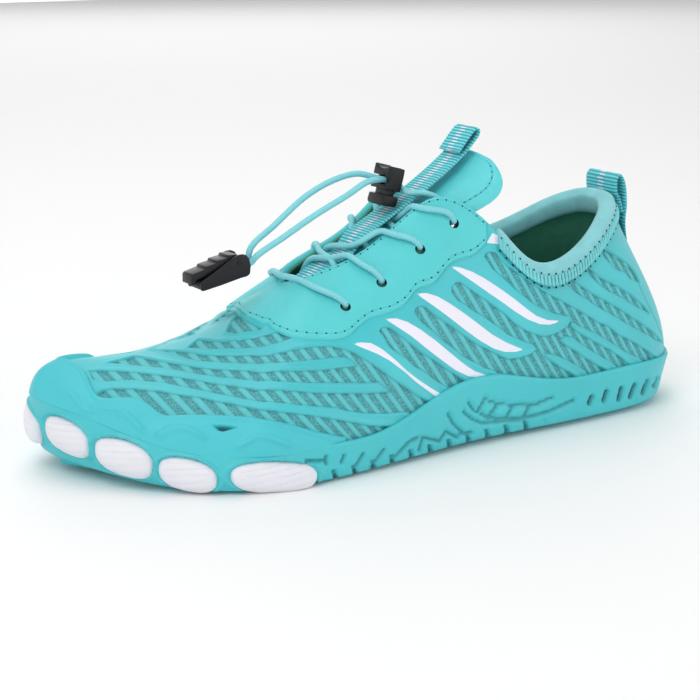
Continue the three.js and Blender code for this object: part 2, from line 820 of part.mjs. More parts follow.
/** Tongue: one arched sheet with a rounded top. */
function tongue() {
  const skin = new Skin();
  const across = span(-1, 1, 6);
  const rows = span(0, TONGUE_TOP, 11);
  const ring = (t) => {
    const line = (lift) => across.map((x) => tonguePoint(t, x * tongueHalf(t), lift));
    return [...line(0), ...line(-TONGUE_THICKNESS).reverse()];
  };
  const rings = rows.map(ring);
  skin.grid(rings, true);
  skin.cap(rings[0], true);
  skin.cap(rings[rings.length - 1], false);
  return skin.solid();
}
keep("tongue", tongue());

// Webbing on the tongue: low at the toe end, above the laces higher up, folded at its end.
const webRest = FIT_GAP + WEB_THICKNESS / 2;
const webRaised = FIT_GAP * 2 + LACE_DIAMETER + WEB_THICKNESS / 2 + 0.05;
const sideways = new THREE.Vector3(0, 1, 0);

/** Lift of the webbing's middle above the tongue. */
function webLift(t) {
  const x = Math.min(Math.max((t - 2.93) / 0.4, 0), 1);
  return webRest + (webRaised - webRest) * x * x * (3 - 2 * x);
}

function tongueWebbing() {
  const stops = [1.42, 1.9, 2.4, 2.9, 3.15, 3.4, 3.9, 4.4, 5, 5.6, 6.2, 6.8, 7.4, TONGUE_TOP];
  const line = stops.map((t) => tonguePoint(t, 0, webLift(t)));
  const end = tonguePoint(TONGUE_TOP, 0, webRaised);
  const run = tongueRun(TONGUE_TOP);
  const front = new THREE.Vector3(-run.z, 0, run.x);
  const add = (u, v) => line.push(end.clone().addScaledVector(run, u).addScaledVector(front, v));
  add(5.0, 0.3);
  add(6.2, 1.2);
  add(6.0, 2.4);
  add(4.8, 3.0);
  add(-6, 2.6);
  return strap(line, line.map(() => sideways), TONGUE_WEB_WIDTH, WEB_THICKNESS);
}
keep("tongue_webbing", tongueWebbing());

// Collar cuff: padded roll over the collar's edge, from side to side round the heel.
const cuffRows = LATERAL.filter((row) => row < 5.1);
const cuffEnd = cuffRows[cuffRows.length - 1];
function cuff() {
  const skin = new Skin();
  const legEnd = LEVELS[LEVELS.length - 2];
  const section = (row) => {
    const r = Math.abs(row);
    const fade = Math.min(1, 0.35 + (cuffEnd - r) * 0.8);
    const pad = UPPER_WALL + FIT_GAP + 0.3;
    const rise = lastPoint(row, 1).sub(lastPoint(row, 0.98)).normalize();
    const edge = (d, u) => form(row, 1, d).addScaledVector(rise, u);
    return [
      form(row, legEnd, 0.5), form(row, legEnd, 1.6), edge(1.9, 0), edge(1.3, 2.1), edge(-0.9, 3.3),
      edge(-pad - 1.2, 2.2), edge(-pad - 2.6 * fade, 0), form(row, legEnd, -pad - 2.4 * fade),
      form(row, legEnd, -pad), edge(-pad, 0), edge(-0.9, 0.5), edge(0.5, 0),
    ];
  };
  const rings = [...cuffRows.slice(1).reverse().map((row) => -row), ...cuffRows].map(section);
  skin.grid(rings, true);
  skin.cap(rings[0], true);
  skin.cap(rings[rings.length - 1], false);
  return skin.solid();
}
keep("collar_cuff", cuff());

// Heel loop: webbing up the back of the heel, folded over and sewn under the collar's cuff.
const heelWebGap = 1.9 + FIT_GAP + WEB_THICKNESS / 2;
const heelTop = form(0, 1, heelWebGap);
const heelWebSize = HEEL_WEB_WIDTH / 20;
const heelFold = [[4.7, -8.9], [4.4, -2.9], [3.7, 3.1], [2.5, 6.7], [0.7, 8.4], [-0.8, 7.1],
  [-1.1, 4.1], [-0.7, 1.1]].map(([back, up]) =>
  heelTop.clone().add(new THREE.Vector3(back, 0, up).multiplyScalar(heelWebSize)));
const heelLine = [
  form(0, 0.55, heelWebGap - 1.2),
  form(0, 0.7, heelWebGap - 0.5),
  form(0, 0.79, heelWebGap + 0.1),
  ...heelFold,
  form(0, 0.985, heelWebGap + 0.25),
  form(0, 0.9, heelWebGap),
];
keep("heel_loop", strap(heelLine, heelLine.map(() => sideways), HEEL_WEB_WIDTH, WEB_THICKNESS));

// Laces. A lace lies on the eyestay, dips into its eyelet and crosses the tongue.
const laceRadius = LACE_DIAMETER / 2;
const onStay = FIT_GAP * 2 + STAY_THICKNESS + laceRadius + 0.15;
const onWeb = FIT_GAP * 2 + WEB_THICKNESS + laceRadius + 0.15;
const onTongue = FIT_GAP + laceRadius + 0.1;

/** Points of a lace from inside its eyelet to the throat edge of the same side. */
function fromEyelet(index, side, edgeRow) {
  const { row, height } = EYELETS[index];
  const mid = (row + edgeRow) / 2;
  return [
    form(side * row, height, -0.6),
    form(side * row, height, 2.0),
    form(side * (row + (edgeRow - row) * 0.1), height + 0.045, onStay + 0.25),
    form(side * mid, (height + 0.97) / 2, onStay + 0.1),
    form(side * edgeRow, 0.97, onStay + 0.2),
    inside(edgeRow, side),
  ];
}

/** Point of a lace just past the throat edge. */
function inside(edgeRow, side) {
  const point = form(side * edgeRow, 1, onStay + 0.75);
  point.y += side * 2.0;
  return point;
}

/** Point above the tongue's middle line, moved straight across. */
function crownPoint(t, across, lift) {
  const point = tonguePoint(t, 0, lift);
  point.y += across;
  return point;
}

/** Lace from an eyelet over the tongue and under the other side's edge. */
function crossing(index, side, edgeRow, middleShare, endShare, overWeb) {
  const middle = tongueStation(middleShare * LENGTH);
  const end = tongueStation(endShare * LENGTH);
  const lift = overWeb ? onWeb : onTongue;
  const path = fromEyelet(index, side, edgeRow);
  const halfWeb = overWeb ? TONGUE_WEB_WIDTH / 2 + 0.6 : TONGUE_WEB_WIDTH * 0.45;
  const place = overWeb ? crownPoint : tonguePoint;
  path.push(place(middle, -side * halfWeb, lift + (overWeb ? 0.1 : 0.3)));
  path.push(place((middle * 3 + end) / 4, 0, lift + 0.15));
  path.push(place((middle + end) / 2, side * halfWeb, lift));
  path.push(tonguePoint(end, side * 9.6, onTongue));
  path.push(tonguePoint(end, side * (overWeb ? 11.9 : 12.5), onTongue));
  return tube(path, laceRadius, 8, 13);
}

const bar = [
  ...fromEyelet(0, 1, 8.6).slice(0, 5),
  at(ridgeAlong(0) + 2.612, 0, ridgeRise(0) + onStay + 0.8),
  ...fromEyelet(0, -1, 8.6).slice(0, 5).reverse(),
];
keep("lace_bar", tube(bar, laceRadius, 8, 16));
keep("lace_cross_front", crossing(1, 1, 7.55, 0.581, 0.603, true).add(crossing(1, -1, 7.5, 0.5772, 0.5919, true)));
keep("lace_near_middle", crossing(2, 1, 6.95, 0.5515, 0.5772, true));
keep("lace_far_middle", crossing(2, -1, 6.85, 0.5294, 0.5368, false));
keep("lace_cross_top", crossing(3, 1, 6.4, 0.478, 0.5, false).add(crossing(3, -1, 6.35, 0.4853, 0.4926, false)));

// Cord lock: body with the cord channel, and the button with its slotted stem.
const bodyBase = -3.4;
const buttonTop = bodyBase - LOCK_TRAVEL - FIT_GAP;
const lockStation = tongueStation(LOCK.station * LENGTH);
const webTop = (webRaised + WEB_THICKNESS / 2) / tongueRun(lockStation).x;
const lockRest = tongueRise(lockStation) + webTop + LOCK.room;
const lockHeight = lockRest + (LOCK_BUTTON[2] - buttonTop) * Math.cos(LOCK.lean);
const lockPlace = new THREE.Matrix4().makeRotationY(LOCK.lean)
  .setPosition(at(LOCK.station * LENGTH, LOCK.across, lockHeight));

/** Block in the lock's own frame. */
function lockBox(size, x, y, z) {
  const skin = new Skin();
  const corner = (a, b, c) => new THREE.Vector3(
    x + (a * size[0]) / 2, y + (b * size[1]) / 2, z + (c * size[2]) / 2).applyMatrix4(lockPlace);
  return blockOf(skin, corner);
}

/** Closes a block from a function that gives its eight corners. */
function blockOf(skin, corner) {
  const low = [corner(-1, -1, -1), corner(1, -1, -1), corner(1, 1, -1), corner(-1, 1, -1)];
  const high = [corner(-1, -1, 1), corner(1, -1, 1), corner(1, 1, 1), corner(-1, 1, 1)];
  skin.grid([low, high], true);
  skin.quad(low[3], low[2], low[1], low[0]);
  skin.quad(high[0], high[1], high[2], high[3]);
  return skin.solid();
}

/** Rod in the lock's own frame. */
function lockRod(from, to, radius, sides) {
  const end = (v) => new THREE.Vector3(...v).applyMatrix4(lockPlace);
  return rod(end(from), end(to), radius, sides);
}

const channel = [20, LACE_DIAMETER * 2 + 1.2, LACE_DIAMETER + 0.8];
const stem = [3.2, 8.4, 0];
const stemTop = channel[2] / 2 + 1.1;
const lockMiddle = bodyBase + LOCK_BODY[2] / 2;
const boreTop = stemTop + LOCK_TRAVEL + FIT_GAP;
keep("lock_body", lockBox(LOCK_BODY, 0, 0, lockMiddle)
  .subtract(lockBox(channel, 0, 0, 0))
  .subtract(lockBox([stem[0] + 0.6, stem[1] + 0.6, boreTop - bodyBase + 1], 0, 0, (boreTop + bodyBase - 1) / 2))
  .subtract(lockRod([-8, 0, bodyBase + LOCK_BODY[2] + 1.4], [8, 0, bodyBase + LOCK_BODY[2] + 1.4], 2.9, 10)));
keep("lock_button", lockBox(LOCK_BUTTON, 0, 0, buttonTop - LOCK_BUTTON[2] / 2)
  .add(lockBox([stem[0], stem[1], stemTop - buttonTop + 1], 0, 0, (stemTop + buttonTop - 1) / 2))
  .subtract(lockBox([8, channel[1] + 0.4, channel[2] + LOCK_TRAVEL + 0.2], 0, 0, -LOCK_TRAVEL / 2)));

// Lace leads into the back of the lock, and the two free strands out of its front.
const inLock = (x, y, z) => new THREE.Vector3(x, y, z).applyMatrix4(lockPlace);
const half = laceRadius + 0.15;
[["near", 1], ["far", -1]].forEach(([name, side]) => {
  const t = tongueStation(0.42463 * LENGTH);
  keep(`lace_lead_${name}`, tube([
    tonguePoint(t, -side * 15.4, onTongue + 0.1),
    tonguePoint(t, -side * 13.2, onTongue + 0.6),
    crownPoint(tongueStation(0.4338 * LENGTH), -side * 10.4, webRaised + 1.2),
    crownPoint(tongueStation(0.4449 * LENGTH), -side * 7.6, webRaised + 2.6),
    crownPoint(tongueStation(0.4577 * LENGTH), -side * 4.8, webRaised + 3.9),
    inLock(6.5, -side * 2.6, -0.9),
    inLock(3.0, -side * half, 0),
    inLock(0.6, -side * half, 0),
  ], laceRadius, 8, 10));
});

const clipPlace = new THREE.Matrix4().makeRotationY(CLIP.lean)
  .setPosition(at(ridgeAlong(CLIP.ridgePlace), CLIP.across, ridgeRise(CLIP.ridgePlace) + CLIP.lift));
const inClip = (x, y, z) => new THREE.Vector3(x, y, z).applyMatrix4(clipPlace);

/** Free strand: share of the way from lock to clip, side and rise over the straight line. */
function strand(side, bends) {
  const from = inLock(-3.4, 0, 0);
  const to = inClip(6.4, 0, -2.2);
  const path = bends.map(([share, across, rise]) => {
    const point = from.clone().lerp(to, share);
    return new THREE.Vector3(point.x, across, point.z + rise);
  });
  return tube([
    inLock(-0.6, side, 0), inLock(-3.4, side, 0), ...path, inClip(6.4, side, -2.2), inClip(3.0, side, -2.4),
  ], laceRadius, 8, 15);
}
keep("cord_near", strand(-half, [
  [0.1263, -3.2, 3.013], [0.2838, -3.4, 2.939], [0.5289, -3.2, 3.113], [0.7565, -2.7, 2.217],
  [0.949, -2, 1.383],
]));
keep("cord_far", strand(half, [
  [0.135, 2.6, 5.748], [0.3013, 3.6, 8.609], [0.5289, 3.6, 9.313], [0.774, 2.9, 6.287],
  [0.9578, 2, 4.017],
]));

/** Wedge between the clip's cheeks or beside them, from its outline seen from the side. */
function clipPlate(outlinePoints, y, width) {
  const skin = new Skin();
  const rings = [y - width / 2, y + width / 2].map((side) =>
    outlinePoints.map(([x, z]) => inClip(x, side, z)));
  skin.grid(rings, true);
  skin.cap(rings[0], true);
  skin.cap(rings[1], false);
  return skin.solid();
}

const toeEnd = -CLIP_LENGTH + 4;
const cheek = [[4, -5.2], [4.2, 0.6], [2.4, 2.4], [-1.8, 2.4], [-10, -1.6], [toeEnd, -4.4], [toeEnd, -7.6], [0, -5.8]];
const cheekSide = (CLIP_WIDTH - CLIP_CHEEK) / 2;
const floorPlate = [[4, -5.2], [4, -4.0], [-0.5, -4.2], [toeEnd, -5.8], [toeEnd, -7.6], [0, -5.8]];
keep("clip_body", clipPlate(cheek, -cheekSide, CLIP_CHEEK)
  .add(clipPlate(cheek, cheekSide, CLIP_CHEEK))
  .add(clipPlate(floorPlate, 0, CLIP_WIDTH))
  .add(rod(inClip(0, -cheekSide, 0), inClip(0, cheekSide, 0), CLIP_PIN / 2, 8)));
const leverWidth = CLIP_WIDTH - 2 * CLIP_CHEEK - 2 * FIT_GAP;
const lever = [
  [1.9, -0.4], [1.6, 1.6], [0, 2.4], [-4, 2.9], [-4.3, 2.2], [-8.6, 1.7], [-8.9, 0.9], [-13.4, 0.2],
  [-13.7, -0.6], [-19, -1.4], [-19.4, -5.0], [-17.9, -5.2], [-17.3, -3.7], [-6, -1.6], [0, -0.5],
];
keep("clip_lever", clipPlate(lever, 0, leverWidth)
  .add(rod(inClip(0, -leverWidth / 2, 0), inClip(0, leverWidth / 2, 0), CLIP_PIN / 2 + 1.2, 10))
  .subtract(rod(inClip(0, -9, 0), inClip(0, 9, 0), CLIP_PIN / 2 + FIT_GAP, 10)));

const teal = 0x35bcc1;
const aqua = 0x7fd9de;
const black = 0x1b1c1e;
const finish = (color, roughness, metalness = 0) => ({ color, roughness, metalness });
const look = {
  upper: finish(teal, 0.8),
  eyestay: finish(0x3fc6c9, 0.5),
  toe_guard: finish(0x37bdc1, 0.55),
  outsole: finish(0x36babf, 0.6),
  insole: finish(0x2b8076, 0.9),
  tongue: finish(0x3ac1c6, 0.7),
  tongue_webbing: finish(0x33b9c0, 0.8),
  collar_cuff: finish(0x86dcdc, 0.85),
  heel_loop: finish(0x2fb3bb, 0.8),
  lock_body: finish(black, 0.4),
  lock_button: finish(black, 0.4),
  clip_body: finish(black, 0.4),
  clip_lever: finish(black, 0.4),
};
const lookOf = (name) => {
  if (name in look) return look[name];
  return name.startsWith("toe_pod") ? finish(0xe9ecec, 0.5) : finish(aqua, 0.6);
};

const shoe = new THREE.Group();
shoe.name = "water_shoe";
parts.forEach((body, name) => {
  const mesh = body.getMesh();
  const geometry = new THREE.BufferGeometry();
  const position = new Float32Array(mesh.vertProperties);
  geometry.setAttribute("position", new THREE.BufferAttribute(position, 3));
  geometry.setIndex(new THREE.BufferAttribute(new Uint32Array(mesh.triVerts), 1));
  geometry.computeVertexNormals();
  const item = new THREE.Mesh(geometry, new THREE.MeshStandardMaterial(lookOf(name)));
  item.name = name;
  shoe.add(item);
});

export default shoe;
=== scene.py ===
"""Left water shoe with a quick lace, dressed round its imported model. Metres, toe to -X."""

import json
import logging
import math
from dataclasses import dataclass, field
from enum import Enum
from typing import Callable, Sequence

import bmesh
import bpy
import numpy as np
from mathutils import Matrix, Vector

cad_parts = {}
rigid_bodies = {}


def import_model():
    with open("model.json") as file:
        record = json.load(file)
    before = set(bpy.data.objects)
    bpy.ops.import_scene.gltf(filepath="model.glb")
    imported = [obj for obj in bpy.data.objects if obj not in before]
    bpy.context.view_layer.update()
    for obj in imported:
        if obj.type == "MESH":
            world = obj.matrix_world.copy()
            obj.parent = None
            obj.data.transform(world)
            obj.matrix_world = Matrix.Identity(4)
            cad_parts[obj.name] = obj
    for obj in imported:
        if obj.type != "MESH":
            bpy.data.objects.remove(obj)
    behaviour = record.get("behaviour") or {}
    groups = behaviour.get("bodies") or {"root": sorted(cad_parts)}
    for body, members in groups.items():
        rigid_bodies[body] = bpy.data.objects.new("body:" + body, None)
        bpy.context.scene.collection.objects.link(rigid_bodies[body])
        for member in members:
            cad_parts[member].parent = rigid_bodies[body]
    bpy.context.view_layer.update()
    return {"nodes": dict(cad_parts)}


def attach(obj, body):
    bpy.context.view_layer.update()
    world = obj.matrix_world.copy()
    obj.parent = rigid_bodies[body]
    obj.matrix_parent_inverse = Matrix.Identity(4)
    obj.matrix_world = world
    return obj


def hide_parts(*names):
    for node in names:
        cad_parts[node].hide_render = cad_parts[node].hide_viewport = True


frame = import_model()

Array = np.ndarray
MM = 0.001
log = logging.getLogger("water_shoe")


# Main sizes, in millimetres, as in the part's source.
LENGTH = 272.0
BALL_WIDTH = 100.0
HEEL_HEIGHT = 84.0
INSTEP_HEIGHT = 98.0
SOLE_THICKNESS = 6.0
HEEL_CENTRE = 35.0
UPPER_WALL = 1.8
FIT_GAP = 0.3
RIM_INSET = 3.2
RAND_WALL = 2.2
STAY_THICKNESS = 1.1
GUARD_THICKNESS = 1.9
INSOLE_THICKNESS = 2.5
TONGUE_THICKNESS = 2.4
WEB_THICKNESS = 1.3
TONGUE_WEB_WIDTH = 14.0
HEEL_WEB_WIDTH = 20.0
LACE_RADIUS = 1.2
EYELET_RADIUS = 2.0
ROWS = 24
RIDGE_ROW = 9

# Rows of the last: along, across, rim, out, up, reach, drop, as shares of the main sizes.
STATIONS = (
    (0.0, 0.0, 1.0, 0.12, 0.245, 0.08, 0.245), (0.026, -0.2, 1.0, 0.12, 0.245, 0.07, 0.235),
    (0.08, -0.31, 1.0, 0.1, 0.255, 0.04, 0.225), (0.165, -0.36, 1.0, 0.07, 0.245, 0.03, 0.205),
    (0.275, -0.39, 1.0, 0.06, 0.225, 0.03, 0.185), (0.386, -0.41, 1.0, 0.06, 0.245, 0.04, 0.225),
    (0.5, -0.445, 0.92, 0.07, 0.265, 0.09, 0.205), (0.614, -0.495, 0.83, 0.08, 0.245, 0.14, 0.155),
    (0.72, -0.52, 0.83, 0.08, 0.225, 0.18, 0.12), (0.816, -0.475, 1.0, 0.08, 0.205, 0.22, 0.0),
    (0.9, -0.33, 1.4, 0.08, 0.185, 0.19, 0.0), (0.963, -0.12, 2.25, 0.08, 0.175, 0.15, 0.0),
    (1.0, 0.14, 3.0, 0.07, 0.175, 0.13, 0.0), (0.978, 0.33, 2.5, 0.08, 0.175, 0.12, 0.0),
    (0.912, 0.44, 1.6, 0.08, 0.175, 0.13, 0.0), (0.816, 0.48, 1.0, 0.08, 0.185, 0.14, 0.0),
    (0.717, 0.47, 0.83, 0.08, 0.205, 0.13, 0.12), (0.618, 0.42, 0.92, 0.08, 0.245, 0.12, 0.155),
    (0.515, 0.35, 1.08, 0.07, 0.265, 0.09, 0.205), (0.412, 0.315, 1.17, 0.06, 0.265, 0.04, 0.225),
    (0.309, 0.32, 1.08, 0.06, 0.245, 0.03, 0.185), (0.213, 0.345, 1.0, 0.07, 0.245, 0.03, 0.205),
    (0.125, 0.34, 1.0, 0.1, 0.255, 0.04, 0.225), (0.044, 0.24, 1.0, 0.12, 0.245, 0.07, 0.235),
)
# Top line over the toes: along, across, instep.
RIDGE = ((0.654, 0.01, 0.633), (0.757, 0.04, 0.488), (0.857, 0.09, 0.421), (0.938, 0.13, 0.416))
# Edge of throat and collar: along, across, instep, heel.
EDGE = (
    (0.654, 0.01, 0.633, 0.0), (0.61, -0.105, 0.694, 0.0), (0.518, -0.12, 0.811, 0.0),
    (0.438, -0.16, 0.949, 0.0), (0.364, -0.25, 0.816, 0.0), (0.302, -0.32, 0.3, 0.406),
    (0.213, -0.28, 0.0, 0.804), (0.147, -0.2, 0.0, 0.923), (0.11, -0.1, 0.0, 0.988),
    (0.103, 0.0, 0.0, 1.0), (0.11, 0.1, 0.0, 0.988), (0.147, 0.2, 0.0, 0.929),
    (0.213, 0.28, 0.0, 0.821), (0.302, 0.32, 0.3, 0.43), (0.364, 0.25, 0.827, 0.0),
    (0.438, 0.16, 0.949, 0.0), (0.518, 0.125, 0.811, 0.0), (0.61, 0.115, 0.694, 0.0),
    (0.654, 0.01, 0.633, 0.0),
)
# Sole by row: rand, lift, belly, arch.
SOLE = (
    (0.17, 0.7, 1.7, 0.0), (0.17, 0.7, 1.7, 0.0), (0.18, 0.5, 1.5, 0.0), (0.2, 0.45, 1.4, 0.0),
    (0.225, 0.5, 1.5, 0.05), (0.262, 0.55, 1.6, 0.1), (0.205, 0.45, 1.5, 0.05),
    (0.122, 0.35, 1.4, 0.0), (0.135, 0.25, 1.3, 0.0), (0.14, 0.3, 1.4, 0.0), (0.17, 0.75, 2.0, 0.0),
    (0.24, 1.8, 3.1, 0.2), (0.26, 2.6, 4.0, 0.4), (0.25, 2.2, 3.5, 0.3), (0.2, 1.1, 2.3, 0.05),
    (0.15, 0.4, 1.5, 0.0), (0.14, 0.25, 1.3, 0.0), (0.13, 0.5, 1.4, 0.1), (0.17, 0.9, 1.8, 0.45),
    (0.23, 1.0, 2.0, 0.6), (0.26, 0.8, 1.8, 0.4), (0.23, 0.5, 1.5, 0.1), (0.2, 0.5, 1.5, 0.0),
    (0.18, 0.7, 1.7, 0.0),
)
# Upper edge of the toe guard: row, height.
GUARD_TOP = (
    (7.5, 0.15), (8.25, 0.24), (8.75, 0.285), (9.4, 0.335), (9.95, 0.345), (10.2, 0.36),
    (10.55, 0.435), (10.95, 0.41), (11.15, 0.45), (11.4, 0.6), (11.8, 0.78), (12.3, 0.82),
    (12.9, 0.7), (13.5, 0.52), (14.2, 0.4), (15.0, 0.34), (15.8, 0.26), (16.6, 0.16),
)
# Eyelets of one side, from the toe upwards: row, height.
EYELETS = ((7.62, 0.725), (7.03, 0.74), (6.35, 0.77), (5.75, 0.87))
# Middle of the tongue: along, rise, half width.
TONGUE = (
    (0.7, 0.53, 0.09), (0.65, 0.585, 0.12), (0.6, 0.672, 0.14), (0.55, 0.742, 0.155),
    (0.5, 0.815, 0.165), (0.45, 0.895, 0.17), (0.405, 0.973, 0.19), (0.368, 1.046, 0.2),
    (0.347, 1.1, 0.145),
)
TONGUE_DROP = 3.2
TONGUE_DROP_AT = 11.0
# Toe pods: row, height of the middle, half length, half height.
PODS = ((8.55, 5.9, 16.0, 5.6), (9.72, 8.0, 10.5, 5.8), (10.6, 12.6, 11.5, 6.4),
        (11.45, 17.2, 10.5, 6.4), (12.6, 17.6, 12.0, 6.2))
POD_DEPTH = 4.6
POD_INSET = 2.3

# Lower edge of the eyestay, as seen from the camera's side.
STAY_EDGE = (
    (508, 216), (504, 222), (497, 229), (490, 236), (484, 246), (476, 254), (469, 257.5), (460, 259.5),
    (452, 263), (446, 268.5), (440, 277), (435, 283), (428, 286.5), (420, 288), (414, 292), (410.5, 298),
    (403, 306.5), (391, 313), (382, 315), (373, 317.5), (366.5, 320.5), (358.5, 327), (351, 334),
    (343, 338.8), (333, 340), (321, 339.5), (305, 338.7), (291, 337), (282, 333.5), (272, 328.5),
    (260, 322.5), (254, 319), (248, 317), (242, 312), (234, 310.5), (226, 308),
)
# Recessed windows of the upper's film, from the lowest over the toes to the heel.
WINDOWS = (
    # Lowest one over the toes.
    ((96, 394), (101, 390), (112, 387.5), (133, 387.5), (161, 390), (198, 396), (233, 403), (250, 407),
     (285, 412), (323, 417), (347, 421.5), (371, 426), (396, 427), (394, 438), (360, 446), (300, 440),
     (262, 432), (222, 425), (180, 425), (158, 424), (146, 416), (137, 405), (120, 404), (105, 405),
     (97, 402)),
    # Wide field over the forefoot, which two ribs divide.
    ((89, 370), (93, 378), (105, 380), (133, 378.5), (163, 381), (179, 384.5), (196, 387.5),
     (216, 392), (234.5, 395), (250, 398.5), (275, 401.5), (295, 404), (323, 406), (339, 407.5),
     (348.5, 410.5), (368, 413), (386, 413.5), (405, 412), (425, 416), (445, 410), (433, 404.2),
     (419.7, 396.3), (407.5, 388), (390.6, 376.3), (372.4, 363), (354.5, 351.8), (341, 347.6),
     (329, 345.5), (314.5, 345.8), (300, 347.6), (285.4, 350.6), (271, 353), (254, 354), (234.5, 354.2),
     (220, 354.2), (205, 353.5), (193, 351.5), (174, 349.5), (152, 349.5), (137, 354), (108, 361.5)),
    # Between the forefoot and the eyestay.
    ((188, 346.4), (215, 347.6), (232, 347), (249, 346.4), (266, 344.3), (282, 340), (291.5, 337),
     (286, 326), (275, 331), (265, 334), (250, 337.5), (235, 339), (222.4, 340), (209, 339.7),
     (198, 338)),
    ((226, 331), (231, 320), (236, 314), (246, 320), (256, 325), (262, 328), (248, 330), (236, 332)),
    # First slanted one, down to the sole.
    ((380.3, 330), (381, 328), (384.5, 326.4), (390.6, 327.3), (398, 332.7), (407.5, 340), (421, 352),
     (434, 359.4), (446, 368), (458.5, 375.8), (466, 381.5), (472, 390), (450, 398), (450, 389),
     (442.7, 384.2), (433, 377), (427, 372.7), (415, 365.4), (407.5, 357.6), (398, 352),
     (389.4, 344.8), (384.5, 335)),
    # Slanted ones that run into the field of the heel.
    ((485.5, 256.4), (487, 253), (490.3, 251.8), (495.8, 252.5), (506.7, 264.8), (524.8, 278),
     (543, 290.3), (562, 300.4), (576, 308.4), (588.5, 315.3), (599, 322.2), (608, 325.6),
     (619.5, 334.8), (633.3, 341.7), (646, 349.7), (656.3, 357.8), (662, 366), (640, 376),
     (600, 386), (560, 392), (530, 394), (505, 392), (502, 376), (496, 371), (486, 368),
     (476.7, 362.4), (463, 355.8), (455, 348), (442.7, 338.8), (433, 329.7), (422, 320.6),
     (415.5, 311), (416.5, 308), (419.7, 306), (424, 306), (427, 307.3), (434, 313.3),
     (445, 321.2), (457, 329), (469.4, 338.8), (481.5, 346), (493.6, 352), (503, 357),
     (509, 359.4), (521, 358.2), (532, 354.5), (538, 348.5), (534.5, 344.8), (520, 339.4),
     (509, 334), (499.4, 326.7), (489.7, 319.4), (477.6, 312), (459.4, 300), (452.7, 291.5),
     (453, 286), (457, 282), (462, 282.4), (472.7, 290.3), (488.5, 301), (506.7, 314.5),
     (515, 323), (527, 331), (540.6, 335.8), (548, 336.4), (559, 332.7), (568.5, 326.7),
     (572, 319.4), (569.7, 315.8), (556.4, 313.3), (545.5, 309), (534.5, 303.6), (517.6, 290.3),
     (505.5, 278.8), (493.3, 268.5)),
    # Narrow ones on the heel.
    ((560, 272), (569, 276), (580.5, 285), (594.3, 294.2), (608, 301.7), (621.8, 309.7),
     (633.3, 317.7), (644.8, 325.2), (655, 333), (662, 341.7), (656.3, 339.5), (644.8, 332.5),
     (630, 324.5), (612.7, 314), (596.6, 304.8), (588.5, 299), (576, 291.5), (566, 282)),
    ((585, 262), (592, 269.5), (603.5, 279), (616, 284.8), (631, 294), (644.8, 306), (650, 313),
     (635.6, 305), (626.4, 299), (610.4, 291), (601, 284.5), (590, 274)),
    ((600, 246), (602.5, 247), (616, 255), (628.7, 263), (636.8, 273), (640.2, 281), (637, 281),
     (630, 277.5), (625.3, 271.5), (615, 268), (610.4, 262.3), (601, 251)),
)
# Ribs of film laid over those windows.
RIBS = (
    ((78, 366), (89, 370), (101, 369), (120.6, 369.4), (139, 371), (160.6, 373.6), (179, 376),
     (198, 379), (217.5, 382.7), (233, 385), (250, 387.5), (267, 389), (288, 390), (311, 392),
     (341, 392.8), (365, 393), (378, 392.8), (392, 392), (385, 387), (380, 382), (364, 382.3),
     (350, 382), (333, 382), (317, 382), (302, 381.9), (285.5, 381), (268.5, 379), (251.5, 378.5),
     (232, 376.7), (214, 374.6), (196, 371.8), (179, 369), (159, 366), (135, 364), (108, 361.5),
     (88, 360)),
    ((112, 350), (137, 355), (160.6, 359.7), (181, 363.3), (197, 366), (215, 367.8), (233, 368.8),
     (250, 369.6), (271, 370.4), (293, 370.6), (310, 370), (327, 369), (341, 367), (358, 365.4),
     (352, 360), (346, 355.7), (331.5, 356.7), (314.5, 358.5), (297.5, 360.3), (280.6, 361.3),
     (265, 361.7), (249, 361.7), (233, 361.5), (216, 360.3), (194.5, 359), (174, 352.5), (150, 345)),
    ((573, 321), (576, 323.3), (587.4, 329), (594.3, 332), (605.8, 338.3), (615, 344), (625.3, 350.9),
     (639, 358.3), (646, 363), (650, 372), (634, 374), (631, 365.8), (621.8, 357.8), (610.4, 349.7),
     (599, 344), (585, 336), (577, 331), (572, 326)),
    ((566, 336), (573.6, 337), (587.4, 347.4), (604.6, 357.8), (619.6, 368), (622, 376), (610, 378),
     (608, 371.5), (596.6, 364.7), (587.4, 359), (576, 350.9), (564.4, 344), (561, 340)),
    ((545, 353), (557, 355), (570, 361.2), (586, 370.4), (592, 380), (580, 384), (577, 377.3),
     (570, 372.7), (560, 367), (547, 357.8)),
)
